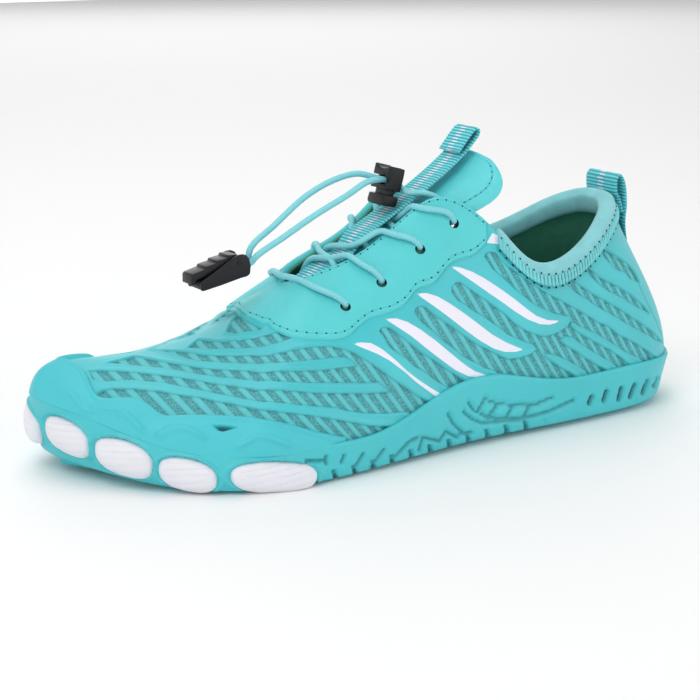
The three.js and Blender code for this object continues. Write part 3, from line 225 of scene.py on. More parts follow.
# Plain white tapered stripes on the film.
STRIPES = (
    ((493, 233), (504, 234), (507.5, 242), (503, 244.5), (487, 243)),
    ((450.3, 265.8), (460.6, 267.3), (472.7, 271.5), (484.8, 278.2), (500.6, 288.5), (515, 298.8),
     (527.3, 308.5), (537, 315.8), (548, 320), (560, 320.6), (556.4, 323), (550.3, 324.8),
     (540.6, 324.2), (528.5, 319.4), (515, 311), (500.6, 300.6), (484.8, 289.7), (470.3, 279.4),
     (458, 271)),
    ((416.4, 293.3), (426.7, 292.7), (437.6, 295.8), (451, 303.6), (465.5, 313.3), (478.8, 323.6),
     (492, 334), (506.7, 342.4), (516.4, 346.7), (524.2, 349.5), (516.4, 351.9), (505.5, 352),
     (494.5, 348.5), (480, 340), (465.5, 329.7), (451, 318), (436.4, 307.3), (424.2, 298.8)),
    ((384.5, 318.2), (396.7, 318), (407.6, 321.2), (421, 329), (435.5, 340), (450, 352), (463.3, 363),
     (475.5, 371.5), (488.8, 375.4), (481.5, 377.6), (469.4, 376.4), (456, 370.3), (441.5, 359.4),
     (427, 347.9), (412.4, 336.4), (397.9, 326.7)),
    ((352.4, 343.3), (361.5, 341.8), (371.2, 342.7), (382, 348.5), (394.2, 358.2), (407.6, 370.3),
     (419.7, 380), (433, 389), (445, 395.8), (440.3, 399.4), (429.4, 391.5), (417.3, 382.4),
     (405, 371.5), (390.6, 360.6), (378.5, 354), (364, 347.9)),
)
# Edge of the heel's film, and the edges of the overlapping film over the heel.
HEEL_SEAM = ((601, 246), (613.6, 255), (624.7, 262.8), (635.7, 273), (642.7, 290), (649.6, 306),
             (656.5, 320), (662, 334), (665, 350))
# Grooves in the wall of the sole, as strokes.
SOLE_GROOVES = (
    ((486, 399.4), (478.5, 412), (488.8, 418), (509.4, 419.4), (520, 418.8), (545, 414)),
    ((486, 399.4), (498.5, 404.2), (520, 405.5), (537, 405), (553, 398)),
    ((499, 404.8), (488.8, 418)), ((513.6, 408), (506.4, 419.4)), ((532, 405), (524, 418)),
    ((465, 412.7), (473, 419.4), (482.7, 423.6), (500, 422.4), (520, 420.6), (550, 412), (574, 401)),
    ((449.4, 415), (455, 424.8), (463.3, 432.7)), ((469.4, 403), (475.5, 411.5)),
    ((305, 470), (306.6, 461.5), (325.5, 461)), ((326.6, 457), (327, 464.5)),
    ((344.8, 456), (342.4, 463)), ((364.2, 454.2), (357, 466.4)), ((384.8, 450), (371, 469.4)),
    ((419, 438), (410, 442.7), (392, 461.5)), ((420, 451), (424, 438), (441, 442)),
    ((441, 441), (447, 432), (458, 438)), ((460, 435), (472, 433)),
)
SOLE_SLOTS = (
    ((592.6, 397.4), (590, 404)), ((607.5, 392), (604.5, 401)), ((622.4, 388.8), (619.5, 400)),
    ((635.6, 385.3), (631, 397.4)), ((647.7, 381.9), (643.7, 393.4)), ((657.4, 380), (655, 386.5)),
)
# Raised folds of the toe guard, as strokes.
GUARD_FOLDS = (
    ((59, 389), (68.5, 390.6), (75.8, 397.9), (81.8, 405), (89, 412)),
    ((95, 411), (105, 410), (117, 412.4), (128, 417.3), (135, 423.3), (142, 430)),
    ((160, 436), (171.5, 430.6), (182.4, 430), (192, 432.4), (204, 438.5)),
    ((240, 446), (254, 438), (264.8, 437.8), (274.5, 440.3), (286, 444)),
)
GUARD_HOLE = ((214, 427), (222, 426.6), (230, 427.2), (236, 428.6), (229, 430.6), (223, 432.4), (218, 431))


@dataclass(frozen=True)
class Viewpoint:
    """Camera fitted to the photograph: where it looks, from where, and its framing."""

    target: tuple[float, float, float] = (-103.0, 0.0, 35.0)
    azimuth: float = 32.59
    elevation: float = 13.49
    roll: float = 0.3
    distance: float = 760.0
    focal: float = 1953.0
    centre: tuple[float, float] = (22.84, -7.22)
    frame_size: int = 700

    def axes(self) -> tuple[Array, Array, Array]:
        """Right, up and backward directions of the camera."""
        azimuth, elevation, roll = np.radians([self.azimuth, self.elevation, self.roll])
        back = np.array([-math.sin(azimuth) * math.cos(elevation),
                         -math.cos(azimuth) * math.cos(elevation), math.sin(elevation)])
        right = np.cross(-back, [0, 0, 1])
        right /= np.linalg.norm(right)
        up = np.cross(right, -back)
        return (right * math.cos(roll) + up * math.sin(roll),
                up * math.cos(roll) - right * math.sin(roll), back)

    def place(self) -> Array:
        """Position of the camera in millimetres."""
        return np.array(self.target) + self.axes()[2] * self.distance

    def project(self, points: Array) -> Array:
        """Picture positions of points.

        Args:
            points: positions in millimetres, last axis of three.

        Returns:
            Positions in the picture, last axis of two.
        """
        right, up, back = self.axes()
        ray = points - self.place()
        depth = -(ray @ back)
        half = self.frame_size / 2
        return np.stack([half + self.centre[0] + self.focal * (ray @ right) / depth,
                         half + self.centre[1] - self.focal * (ray @ up) / depth], -1)

    def create(self) -> None:
        """Adds the camera to the scene."""
        data = bpy.data.cameras.new("view")
        data.sensor_width = 36.0
        data.lens = self.focal / self.frame_size * data.sensor_width
        data.shift_x = -self.centre[0] / self.frame_size
        data.shift_y = self.centre[1] / self.frame_size
        data.clip_end = 20.0
        camera = bpy.data.objects.new("view", data)
        bpy.context.scene.collection.objects.link(camera)
        matrix = Matrix(np.array(self.axes()).T.tolist()).to_4x4()
        matrix.translation = Vector(self.place() * MM)
        camera.matrix_world = matrix
        bpy.context.scene.camera = camera


def smooth_step(x: Array, low: float, high: float) -> Array:
    """Smooth rise from 0 at low to 1 at high."""
    t = np.clip((np.asarray(x, float) - low) / (high - low), 0, 1)
    return t * t * (3 - 2 * t)


def curve(values: Sequence[float], closed: bool = True) -> Callable[[Array], Array]:
    """Smooth curve through values at 0, 1, 2 and so on.

    Args:
        values: the values it runs through.
        closed: whether it comes back to the first value.

    Returns:
        A function of the position.
    """
    v = np.asarray(values, float)
    n = len(v)
    m = np.zeros(n)
    for _ in range(60):
        for i in range(n):
            if closed:
                m[i] = (3 * (v[(i + 1) % n] - v[i - 1]) - m[i - 1] - m[(i + 1) % n]) / 4
            elif i == 0:
                m[i] = (3 * (v[1] - v[0]) - m[1]) / 2
            elif i == n - 1:
                m[i] = (3 * (v[-1] - v[-2]) - m[-2]) / 2
            else:
                m[i] = (3 * (v[i + 1] - v[i - 1]) - m[i - 1] - m[i + 1]) / 4

    def value(x: Array) -> Array:
        """Value at a position."""
        x = np.asarray(x, float)
        at_x = np.mod(x, n) if closed else np.clip(x, 0, n - 1)
        i = np.floor(at_x).astype(int)
        i = i % n if closed else np.minimum(i, n - 2)
        j = (i + 1) % n
        t = at_x - i
        return (v[i] * (2 * t**3 - 3 * t**2 + 1) + m[i] * (t**3 - 2 * t**2 + t)
                + v[j] * (3 * t**2 - 2 * t**3) + m[j] * (t**3 - t**2))

    return value


def at(along: Array, across: Array, height: Array) -> Array:
    """Point from its distance ahead of the heel, its side and its height."""
    a, b, c = np.broadcast_arrays(HEEL_CENTRE - np.asarray(along, float), across, height)
    return np.stack([a, b, c], -1).astype(float)


def unit(v: Array) -> Array:
    """Vectors of length one."""
    return v / np.maximum(np.linalg.norm(v, axis=-1, keepdims=True), 1e-9)


def folded(row: Array) -> Array:
    """Row counted from the heel, positive on the lateral side."""
    r = np.mod(np.asarray(row, float), ROWS)
    return np.where(r > ROWS / 2, r - ROWS, r)


class Last:
    """The foot-shaped surface that the upper follows."""

    def __init__(self) -> None:
        """Makes the curves of the tables."""
        along, across, rim, out, up, reach, drop = zip(*STATIONS)
        self.along = curve(np.array(along) * LENGTH)
        self.across = curve(np.array(across) * BALL_WIDTH)
        self.rim = curve(np.array(rim) * SOLE_THICKNESS)
        self.bulge_out = curve(np.array(out) * BALL_WIDTH)
        self.bulge_up = curve(np.array(up) * INSTEP_HEIGHT)
        self.reach = curve(np.array(reach) * BALL_WIDTH)
        self.drop = curve(np.array(drop) * INSTEP_HEIGHT)
        ridge = np.array(RIDGE)
        self.ridge = [curve(ridge[:, k] * s, False)
                      for k, s in enumerate((LENGTH, BALL_WIDTH, INSTEP_HEIGHT))]
        edge = np.array(EDGE)
        rise = edge[:, 2] * INSTEP_HEIGHT + edge[:, 3] * HEEL_HEIGHT
        self.edge = [curve(edge[:, 0] * LENGTH, False), curve(edge[:, 1] * BALL_WIDTH, False),
                     curve(rise, False)]
        rand, lift, belly, arch = zip(*SOLE)
        self.rand = curve(rand)
        self.lift = curve(np.array(lift) * SOLE_THICKNESS)
        self.belly = curve(np.array(belly) * SOLE_THICKNESS)
        arch_curve = curve(np.array(arch) * SOLE_THICKNESS)
        self.arch = lambda row: np.maximum(arch_curve(row), 0)

    def outline(self, row: Array, inset: Array, height: Array) -> tuple[Array, Array]:
        """Outline point in plan and its outward direction."""
        e = 1e-3
        dx = self.along(row + e) - self.along(row - e)
        dy = self.across(row + e) - self.across(row - e)
        size = np.hypot(dx, dy)
        out = np.stack([-dy / size, -dx / size, np.zeros_like(size)], -1)
        point = at(self.along(row), self.across(row), height)
        return point - out * np.asarray(inset)[..., None], out

    def top(self, row: Array) -> Array:
        """Top end of a column: on the ridge over the toes, else on the edge."""
        r = folded(row)
        x = np.abs(r) - RIDGE_ROW
        y = RIDGE_ROW - r
        over = np.stack([c(x) for c in self.ridge], -1)
        side = np.stack([c(y) for c in self.edge], -1)
        chosen = np.where((x >= 0)[..., None], over, side)
        return at(chosen[..., 0], chosen[..., 1], chosen[..., 2])

    def ridge_slope(self, row: Array) -> Array:
        """Rise of the ridge for each millimetre along the shoe."""
        x = np.clip(np.abs(folded(row)) - RIDGE_ROW, 0.001, len(RIDGE) - 1.001)
        rise = self.ridge[2](x + 0.001) - self.ridge[2](x - 0.001)
        return rise / (self.ridge[0](x + 0.001) - self.ridge[0](x - 0.001))

    def point(self, row: Array, height: Array) -> Array:
        """Point of the last: height 0 on the footbed rim, 1 on the ridge or edge."""
        row, height = np.broadcast_arrays(np.asarray(row, float), np.asarray(height, float))
        foot, out = self.outline(row, RIM_INSET, self.rim(row))
        top = self.top(row)
        low = foot + out * self.bulge_out(row)[..., None]
        low[..., 2] += self.bulge_up(row)
        lean = foot - top
        lean[..., 2] = 0
        lean = unit(lean)
        high = top + lean * self.reach(row)[..., None]
        share = smooth_step(np.abs(folded(row)), RIDGE_ROW - 1, RIDGE_ROW)
        slope = -lean[..., 0] * self.reach(row) * self.ridge_slope(row)
        high[..., 2] += (share - 1) * self.drop(row) + share * slope
        h = height[..., None]
        g = 1 - h
        return foot * g**3 + low * 3 * h * g * g + high * 3 * h * h * g + top * h**3

    def normal(self, row: Array, height: Array) -> Array:
        """Outward direction of the last."""
        row, height = np.broadcast_arrays(np.asarray(row, float), np.asarray(height, float))
        e = 1e-3
        along = self.point(row + e, height) - self.point(row - e, height)
        up = self.point(row, height + e) - self.point(row, height - e)
        usual = unit(np.cross(up, along))
        slope = self.ridge_slope(row)
        flat = unit(np.stack([slope, np.zeros_like(slope), np.ones_like(slope)], -1))
        on_ridge = (np.abs(height - 1) < 1e-4) & (np.abs(folded(row)) >= RIDGE_ROW)
        return np.where(on_ridge[..., None], flat, usual)

    def form(self, row: Array, height: Array, distance: Array) -> Array:
        """Point at a distance outside the last."""
        return self.point(row, height) + self.normal(row, height) * np.asarray(distance)[..., None]


class Chart:
    """Flat millimetre chart of one side of the last, mirrored for the other side."""

    def __init__(self, last: Last, view: Viewpoint) -> None:
        """Measures the side and keeps its picture for tracing."""
        self.rows = np.linspace(0, 12, 481)
        base = last.point(self.rows, 0.35)
        steps = np.linalg.norm(np.diff(base, axis=0), axis=-1)
        self.reach = np.concatenate([[0], np.cumsum(steps)])
        heights = np.linspace(0, 1, 201)
        grid_rows, grid_heights = np.meshgrid(self.rows, heights, indexing="ij")
        points = last.form(grid_rows, grid_heights, 1.0 + 0 * grid_rows)
        lengths = np.linalg.norm(np.diff(points, axis=1), axis=-1)
        self.tall = lengths.sum(1)
        facing = (last.normal(grid_rows, grid_heights) * (view.place() - points)).sum(-1) > 0
        self.seen = view.project(points)[facing]
        self.found = np.stack([grid_rows, grid_heights], -1)[facing]
        self.view = view
        self.last = last
        self.cache: dict = {}
        stay = self.trace(STAY_EDGE)
        order = np.argsort(stay[:, 0])
        self.stay = (stay[order, 0], stay[order, 1])

    def trace(self, pixels: Sequence[tuple[float, float]]) -> Array:
        """Rows and heights of the last under picture positions."""
        out = []
        for u, v in pixels:
            gap = (self.seen[:, 0] - u) ** 2 + (self.seen[:, 1] - v) ** 2
            near = np.argpartition(gap, 6)[:6]
            weight = 1 / (gap[near] + 0.02)
            out.append((self.found[near] * weight[:, None]).sum(0) / weight.sum())
        return np.array(out)

    def flat(self, row: Array, height: Array) -> Array:
        """Chart position of points of the last."""
        r = np.abs(folded(row))
        return np.stack([np.interp(r, self.rows, self.reach),
                         np.asarray(height) * np.interp(r, self.rows, self.tall)], -1)

    def outline_of(self, pixels: Sequence[tuple[float, float]]) -> Array:
        """Chart polygon or stroke of picture positions."""
        if pixels not in self.cache:
            traced = self.trace(pixels)
            self.cache[pixels] = self.flat(traced[:, 0], traced[:, 1])
        return self.cache[pixels]


def edge_distance(points: Array, a: Array, b: Array) -> Array:
    """Distance of points to the segment from a to b."""
    run = b - a
    t = np.clip(((points - a) @ run) / max(run @ run, 1e-9), 0, 1)
    return np.linalg.norm(points - a - t[..., None] * run, axis=-1)


def signed_distance(points: Array, polygon: Array, reach: float = 6.0) -> Array:
    """Distance to a polygon, negative inside, exact within a reach.

    Args:
        points: chart positions, shape (..., 2).
        polygon: corners of the polygon.
        reach: distance beyond which no exact value is needed.

    Returns:
        Signed distances in millimetres.
    """
    flat = points.reshape(-1, 2)
    result = np.full(len(flat), reach)
    low, high = polygon.min(0) - reach, polygon.max(0) + reach
    near = np.where(((flat > low) & (flat < high)).all(1))[0]
    p = flat[near]
    gap = np.full(len(p), reach * 1.0)
    inside = np.zeros(len(p), bool)
    for a, b in zip(polygon, np.roll(polygon, -1, axis=0)):
        gap = np.minimum(gap, edge_distance(p, a, b))
        if a[1] != b[1]:
            crosses = (a[1] > p[:, 1]) != (b[1] > p[:, 1])
            at_x = a[0] + (p[:, 1] - a[1]) * (b[0] - a[0]) / (b[1] - a[1])
            inside ^= crosses & (p[:, 0] < at_x)
    result[near] = np.where(inside, -gap, gap)
    return result.reshape(points.shape[:-1])


def stroke_distance(points: Array, stroke: Array, reach: float = 6.0) -> Array:
    """Distance of points to an open line, exact within a reach."""
    flat = points.reshape(-1, 2)
    result = np.full(len(flat), reach)
    low, high = stroke.min(0) - reach, stroke.max(0) + reach
    near = np.where(((flat > low) & (flat < high)).all(1))[0]
    for a, b in zip(stroke[:-1], stroke[1:]):
        result[near] = np.minimum(result[near], edge_distance(flat[near], a, b))
    return result.reshape(points.shape[:-1])


def rounded_line(points: Sequence[Sequence[float]], count: int) -> Array:
    """Centripetal curve through points, sampled evenly in its parameter.

    Args:
        points: the points it runs through.
        count: number of steps.

    Returns:
        Positions along the curve.
    """
    p = np.array(points, float)
    p = np.vstack([2 * p[0] - p[1], p, 2 * p[-1] - p[-2]])
    spans = len(p) - 3
    out = []
    for s in np.linspace(0, spans, count + 1):
        i = min(int(s), spans - 1)
        w = s - i
        p0, p1, p2, p3 = p[i:i + 4]
        d = [max(np.linalg.norm(b - a) ** 0.5, 1e-4) for a, b in ((p0, p1), (p1, p2), (p2, p3))]
        m1 = ((p1 - p0) / d[0] - (p2 - p0) / (d[0] + d[1]) + (p2 - p1) / d[1]) * d[1]
        m2 = ((p2 - p1) / d[1] - (p3 - p1) / (d[1] + d[2]) + (p3 - p2) / d[2]) * d[1]
        out.append(p1 * (2 * w**3 - 3 * w**2 + 1) + m1 * (w**3 - 2 * w**2 + w)
                   + p2 * (3 * w**2 - 2 * w**3) + m2 * (w**3 - w**2))
    return np.array(out)


def even_line(points: Array, step: float) -> Array:
    """The same line with corners at even distances."""
    gaps = np.concatenate([[0], np.cumsum(np.linalg.norm(np.diff(points, axis=0), axis=1))])
    count = max(int(round(gaps[-1] / step)), 1)
    stops = np.linspace(0, gaps[-1], count + 1)
    return np.stack([np.interp(stops, gaps, points[:, k]) for k in range(points.shape[1])], -1)


def line_frames(line: Array, up: Sequence[float] = (0, 0, 1)) -> tuple[Array, Array, Array]:
    """Forward, side and up directions along a line, without sudden turns."""
    forward = unit(np.gradient(line, axis=0))
    side = np.zeros_like(line)
    current = np.cross(up, forward[0])
    if np.linalg.norm(current) < 1e-3:
        current = np.cross((0, 1, 0), forward[0])
    for i, run in enumerate(forward):
        current = current - run * (current @ run)
        current = current / np.linalg.norm(current)
        side[i] = current
    return forward, side, np.cross(forward, side)


class Value:
    """A shader socket that can be used in sums."""

    def __init__(self, graph: "Graph", socket: bpy.types.NodeSocket) -> None:
        """Keeps the socket and the graph it belongs to."""
        self.graph = graph
        self.socket = socket

    def __add__(self, other: "Value | float") -> "Value":
        """Sum."""
        return self.graph.math("ADD", self, other)

    __radd__ = __add__

    def __sub__(self, other: "Value | float") -> "Value":
        """Difference."""
        return self.graph.math("SUBTRACT", self, other)

    def __rsub__(self, other: float) -> "Value":
        """Difference from a number."""
        return self.graph.math("SUBTRACT", other, self)

    def __mul__(self, other: "Value | float") -> "Value":
        """Product."""
        return self.graph.math("MULTIPLY", self, other)

    __rmul__ = __mul__

    def __truediv__(self, other: "Value | float") -> "Value":
        """Quotient."""
        return self.graph.math("DIVIDE", self, other)

    def __abs__(self) -> "Value":
        """Size without sign."""
        return self.graph.math("ABSOLUTE", self)

    def fract(self) -> "Value":
        """Part after the point."""
        return self.graph.math("FRACT", self)

    def sine(self) -> "Value":
        """Sine."""
        return self.graph.math("SINE", self)

    def rise(self, low: float, high: float) -> "Value":
        """Smooth rise from 0 at low to 1 at high."""
        node = self.graph.node("ShaderNodeMapRange", {"interpolation_type": "SMOOTHSTEP"},
                               {0: self, 1: low, 2: high})
        return Value(self.graph, node.outputs[0])


class Graph:
    """Nodes of one material."""

    def __init__(self, name: str) -> None:
        """Starts an empty material."""
        self.material = bpy.data.materials.new(name)
        self.material.use_nodes = True
        self.tree = self.material.node_tree
        self.tree.nodes.clear()

    def node(self, kind: str, settings: dict | None = None, values: dict | None = None) -> bpy.types.Node:
        """Adds a node.

        Args:
            kind: the node's type.
            settings: properties, set first.
            values: numbers, colours or links of its sockets.

        Returns:
            The node.
        """
        node = self.tree.nodes.new(kind)
        for key, setting in (settings or {}).items():
            setattr(node, key, setting)
        for key, value in (values or {}).items():
            if isinstance(value, Value):
                self.tree.links.new(value.socket, node.inputs[key])
            else:
                node.inputs[key].default_value = value
        return node

    def math(self, operation: str, *terms: "Value | float") -> Value:
        """Result of a Math node."""
        node = self.node("ShaderNodeMath", {"operation": operation}, dict(enumerate(terms)))
        return Value(self, node.outputs[0])

    def attribute(self, name: str) -> Value:
        """A value stored on the mesh."""
        node = self.node("ShaderNodeAttribute", {"attribute_name": name})
        return Value(self, node.outputs["Fac"])

    def place(self) -> Value:
        """Position on the object."""
        return Value(self, self.node("ShaderNodeTexCoord").outputs["Object"])

    def noise(self, size: float, detail: float = 2.0, roughness: float = 0.5) -> Value:
        """Cloudy noise with lumps of a size in millimetres."""
        node = self.node("ShaderNodeTexNoise", None, {
            "Vector": self.place(), "Scale": 1 / (size * MM), "Detail": detail, "Roughness": roughness})
        return Value(self, node.outputs[0])

    def cells(self, size: float, feature: str = "F1") -> Value:
        """Distance in cells of a size in millimetres."""
        node = self.node("ShaderNodeTexVoronoi", {"feature": feature},
                         {"Vector": self.place(), "Scale": 1 / (size * MM)})
        return Value(self, node.outputs[0])

    def blend(self, factor: "Value | float", low: "Value | tuple", high: "Value | tuple") -> Value:
        """Mix of two colours."""
        low, high = [c if isinstance(c, Value) else (*c, 1.0) for c in (low, high)]
        node = self.node("ShaderNodeMix", {"data_type": "RGBA"}, {0: factor, 6: low, 7: high})
        return Value(self, node.outputs[2])

    def bump(self, height: Value, distance: float, strength: float = 1.0,
             under: Value | None = None) -> Value:
        """Normal bent by a height whose range stands for a distance in millimetres."""
        values = {"Height": height, "Distance": distance * MM, "Strength": strength}
        if under is not None:
            values["Normal"] = under
        return Value(self, self.node("ShaderNodeBump", None, values).outputs[0])

    def finish(self, **sockets: "Value | float | tuple") -> bpy.types.Material:
        """Closes the material with its shader.

        Args:
            sockets: the shader's sockets, with _ for a space.

        Returns:
            The material.
        """
        values = {key.replace("_", " "): value for key, value in sockets.items()}
        for key, value in values.items():
            if isinstance(value, tuple) and len(value) == 3:
                values[key] = (*value, 1.0)
        shader = self.node("ShaderNodeBsdfPrincipled", None, values)
        self.node("ShaderNodeOutputMaterial", None, {"Surface": Value(self, shader.outputs[0])})
        return self.material


def srgb(*rgb: int) -> tuple[float, float, float]:
    """Linear colour of one given in steps of 255."""
    return tuple(((c / 255 + 0.055) / 1.055) ** 2.4 if c > 10 else c / 3294 for c in rgb)


@dataclass(frozen=True)
class FilmOverMesh:
    """Moulded film over a knit with slanted bars, with painted shade in its creases; reads film, stripe and strip."""

    film: tuple = srgb(72, 196, 204)
    bar: tuple = srgb(92, 196, 202)
    knit: tuple = srgb(88, 180, 186)
    white: tuple = srgb(236, 234, 246)
    # Colour of the painted shade in the creases just inside the film's edges and along the heel seam's groove.
    crease_shade: tuple = srgb(30, 132, 140)
    bar_share: float = 0.5

    def material(self) -> bpy.types.Material:
        """Builds the finish."""
        g = Graph("film_over_mesh")
        on_film = g.attribute("film").rise(-0.12, 0.12)
        on_stripe = 1 - g.attribute("stripe").rise(-0.12, 0.1)
        wave = abs(g.attribute("strip").fract() - 0.5) * 2
        on_bar = wave.rise(1 - self.bar_share - 0.1, 1 - self.bar_share + 0.1)
        speck = g.noise(0.55, 1.0).rise(0.35, 0.68)
        knit = g.blend(speck, tuple(c * 0.62 for c in self.knit), tuple(c * 1.12 for c in self.knit))
        fine = g.cells(0.8)
        under = g.blend(on_bar, knit, self.bar)
        cloud = g.noise(22, 2.0).rise(0.3, 0.75)
        film = g.blend(cloud * 0.5, self.film, tuple(c * 0.86 for c in self.film))
        # Painted shade along both edges of each raised bar, where the bar meets the knit.
        bar_edge_shade = 1 - abs(wave - 1 + self.bar_share).rise(0.0, 0.22)
        under = g.blend(bar_edge_shade * 0.35, under, tuple(c * 0.5 for c in self.knit))
        panel = g.blend(on_film, under, film)
        # Painted shade in the narrow band along each window's edge, under the film's lip.
        rim = 1 - abs(g.attribute("film") + 0.1).rise(0.0, 0.5)
        panel = g.blend(rim * 0.4, panel, self.crease_shade)
        # Painted shade along the groove of the heel seam.
        panel = g.blend(1 - g.attribute("seam").rise(0.0, 0.45), panel, self.crease_shade)
        colour = g.blend(on_stripe, panel, self.white)
        soft = (1 - on_film) * 0.3
        coarse = g.bump(fine * (1 - on_film) * (1 - on_bar * 0.6), 0.35)
        normal = g.bump(g.noise(0.35, 2.0), 0.05, 0.6, coarse)
        return g.finish(Base_Color=colour, Roughness=soft + 0.42, Normal=normal)


@dataclass(frozen=True)
class Leather:
    """Smooth synthetic leather with a fine grain."""

    name: str = "synthetic"
    colour: tuple = srgb(86, 208, 212)
    grain: float = 0.9
    depth: float = 0.05
    roughness: float = 0.42

    def material(self) -> bpy.types.Material:
        """Builds the finish."""
        g = Graph(self.name)
        cloud = g.noise(14, 3.0).rise(0.25, 0.8)
        colour = g.blend(cloud * 0.35, self.colour, tuple(c * 0.85 for c in self.colour))
        grain = g.cells(self.grain, "DISTANCE_TO_EDGE").rise(0.0, 0.25)
        normal = g.bump(g.noise(4, 3.0), 0.25, 0.5, g.bump(grain, self.depth))
        return g.finish(Base_Color=colour, Roughness=g.noise(3, 2.0) * 0.12 + self.roughness, Normal=normal)


@dataclass(frozen=True)
class Rubber:
    """Moulded rubber, with painted shade where the value deep is high, in its grooves, slots and pits."""

    name: str = "rubber"
    colour: tuple = srgb(70, 196, 204)
    # Colour of the painted shade in hollows.
    hollow_shade: tuple = srgb(12, 78, 90)
    roughness: float = 0.4

    def material(self) -> bpy.types.Material:
        """Builds the finish."""
        g = Graph(self.name)
        cloud = g.noise(26, 2.0).rise(0.3, 0.8)
        base = g.blend(cloud * 0.4, self.colour, tuple(c * 0.86 for c in self.colour))
        deep = g.attribute("deep")
        # Painted shade: partial in grooves, full in the deepest slots and pits.
        colour = g.blend(deep.rise(0.3, 1.0) * 0.45 + deep.rise(1.02, 1.2) * 0.5, base, self.hollow_shade)
        normal = g.bump(g.noise(0.5, 2.0), 0.05, 0.7, g.bump(g.noise(9, 2.0), 0.3, 0.4))
        return g.finish(Base_Color=colour, Roughness=g.noise(5, 2.0) * 0.12 + self.roughness, Normal=normal)


@dataclass(frozen=True)
class Webbing:
    """Woven tape with ladder ribs and a row of pale dashes; reads along and across."""

    name: str = "webbing"
    colour: tuple = srgb(112, 214, 222)
    # Colour of the painted shade in the valleys between the ribs.
    hollow_shade: tuple = srgb(40, 158, 170)
    dash: tuple = srgb(226, 226, 240)
    pitch: float = 1.35
    dash_reach: float = 1.7

    def material(self) -> bpy.types.Material:
        """Builds the finish."""
        g = Graph(self.name)
        along = g.attribute("along") / self.pitch
        across = g.attribute("across")
        rib = (along * (2 * math.pi)).sine() * 0.5 + 0.5
        threads = (across * (2 * math.pi / 0.55)).sine() * 0.5 + 0.5
        shift = (across + (along * math.pi).sine() * 0.5)
        middle = 1 - abs(shift).rise(self.dash_reach - 0.25, self.dash_reach + 0.15)
        # Painted shade in the valleys between the ribs; the pale dashes below are print.
        colour = g.blend(rib.rise(0.1, 0.7), self.hollow_shade, self.colour)
        colour = g.blend(middle * rib.rise(0.45, 0.75), colour, self.dash)
        height = rib * 0.75 + threads * rib * 0.25
        normal = g.bump(height, 0.3, 0.9, g.bump(g.noise(0.3, 2.0), 0.08, 0.6))
        return g.finish(Base_Color=colour, Roughness=0.72, Normal=normal)


@dataclass(frozen=True)
class Braid:
    """Round braided cord; reads along and around."""

    name: str = "braid"
    colour: tuple = srgb(134, 214, 222)
    # Colour of the painted shade in the gaps between the strands.
    hollow_shade: tuple = srgb(74, 168, 180)
    pitch: float = 1.5
    strands: int = 6

    def material(self) -> bpy.types.Material:
        """Builds the finish."""
        g = Graph(self.name)
        along = g.attribute("along") / self.pitch
        around = g.attribute("around")
        twist = ((along + around * self.strands) * (2 * math.pi)).sine()
        back = ((along - around * self.strands) * (2 * math.pi)).sine()
        weave = (twist * back) * 0.5 + 0.5
        # Painted shade in the gaps between the strands, softened on the next line.
        colour = g.blend(weave.rise(0.0, 0.9), self.hollow_shade, self.colour)
        colour = g.blend(0.72, colour, self.colour)
        normal = g.bump(weave, 0.12, 0.7, g.bump(g.noise(0.3, 2.0), 0.04, 0.6))
        return g.finish(Base_Color=colour, Roughness=0.5, Normal=normal)


@dataclass(frozen=True)
class Knit:
    """Soft knitted or napped cloth."""

    name: str
    colour: tuple
    size: float = 0.5
    depth: float = 0.12
    roughness: float = 0.85
    sheen: float = 0.25

    def material(self) -> bpy.types.Material:
        """Builds the finish."""
        g = Graph(self.name)
        cloud = g.noise(6, 3.0).rise(0.25, 0.8)
        colour = g.blend(cloud * 0.6, self.colour, tuple(c * 0.78 for c in self.colour))
        loops = g.cells(self.size)
        normal = g.bump(g.noise(3.5, 2.0), 0.4, 0.35, g.bump(loops, self.depth, 0.8))
        return g.finish(Base_Color=colour, Roughness=self.roughness, Normal=normal,
                        Sheen_Weight=self.sheen, Sheen_Roughness=0.5)


@dataclass(frozen=True)
class Plastic:
    """Moulded plastic with a light surface texture."""

    name: str
    colour: tuple
    roughness: float = 0.38
    depth: float = 0.03
    shine: float = 0.3

    def material(self) -> bpy.types.Material:
        """Builds the finish."""
        g = Graph(self.name)
        cloud = g.noise(4, 2.0)
        colour = g.blend(cloud * 0.5, self.colour, tuple(c * 1.5 for c in self.colour))
        normal = g.bump(g.noise(0.3, 2.0), self.depth, 0.8)
        return g.finish(Base_Color=colour, Roughness=cloud * 0.15 + self.roughness, Normal=normal,
                        Specular_IOR_Level=self.shine)


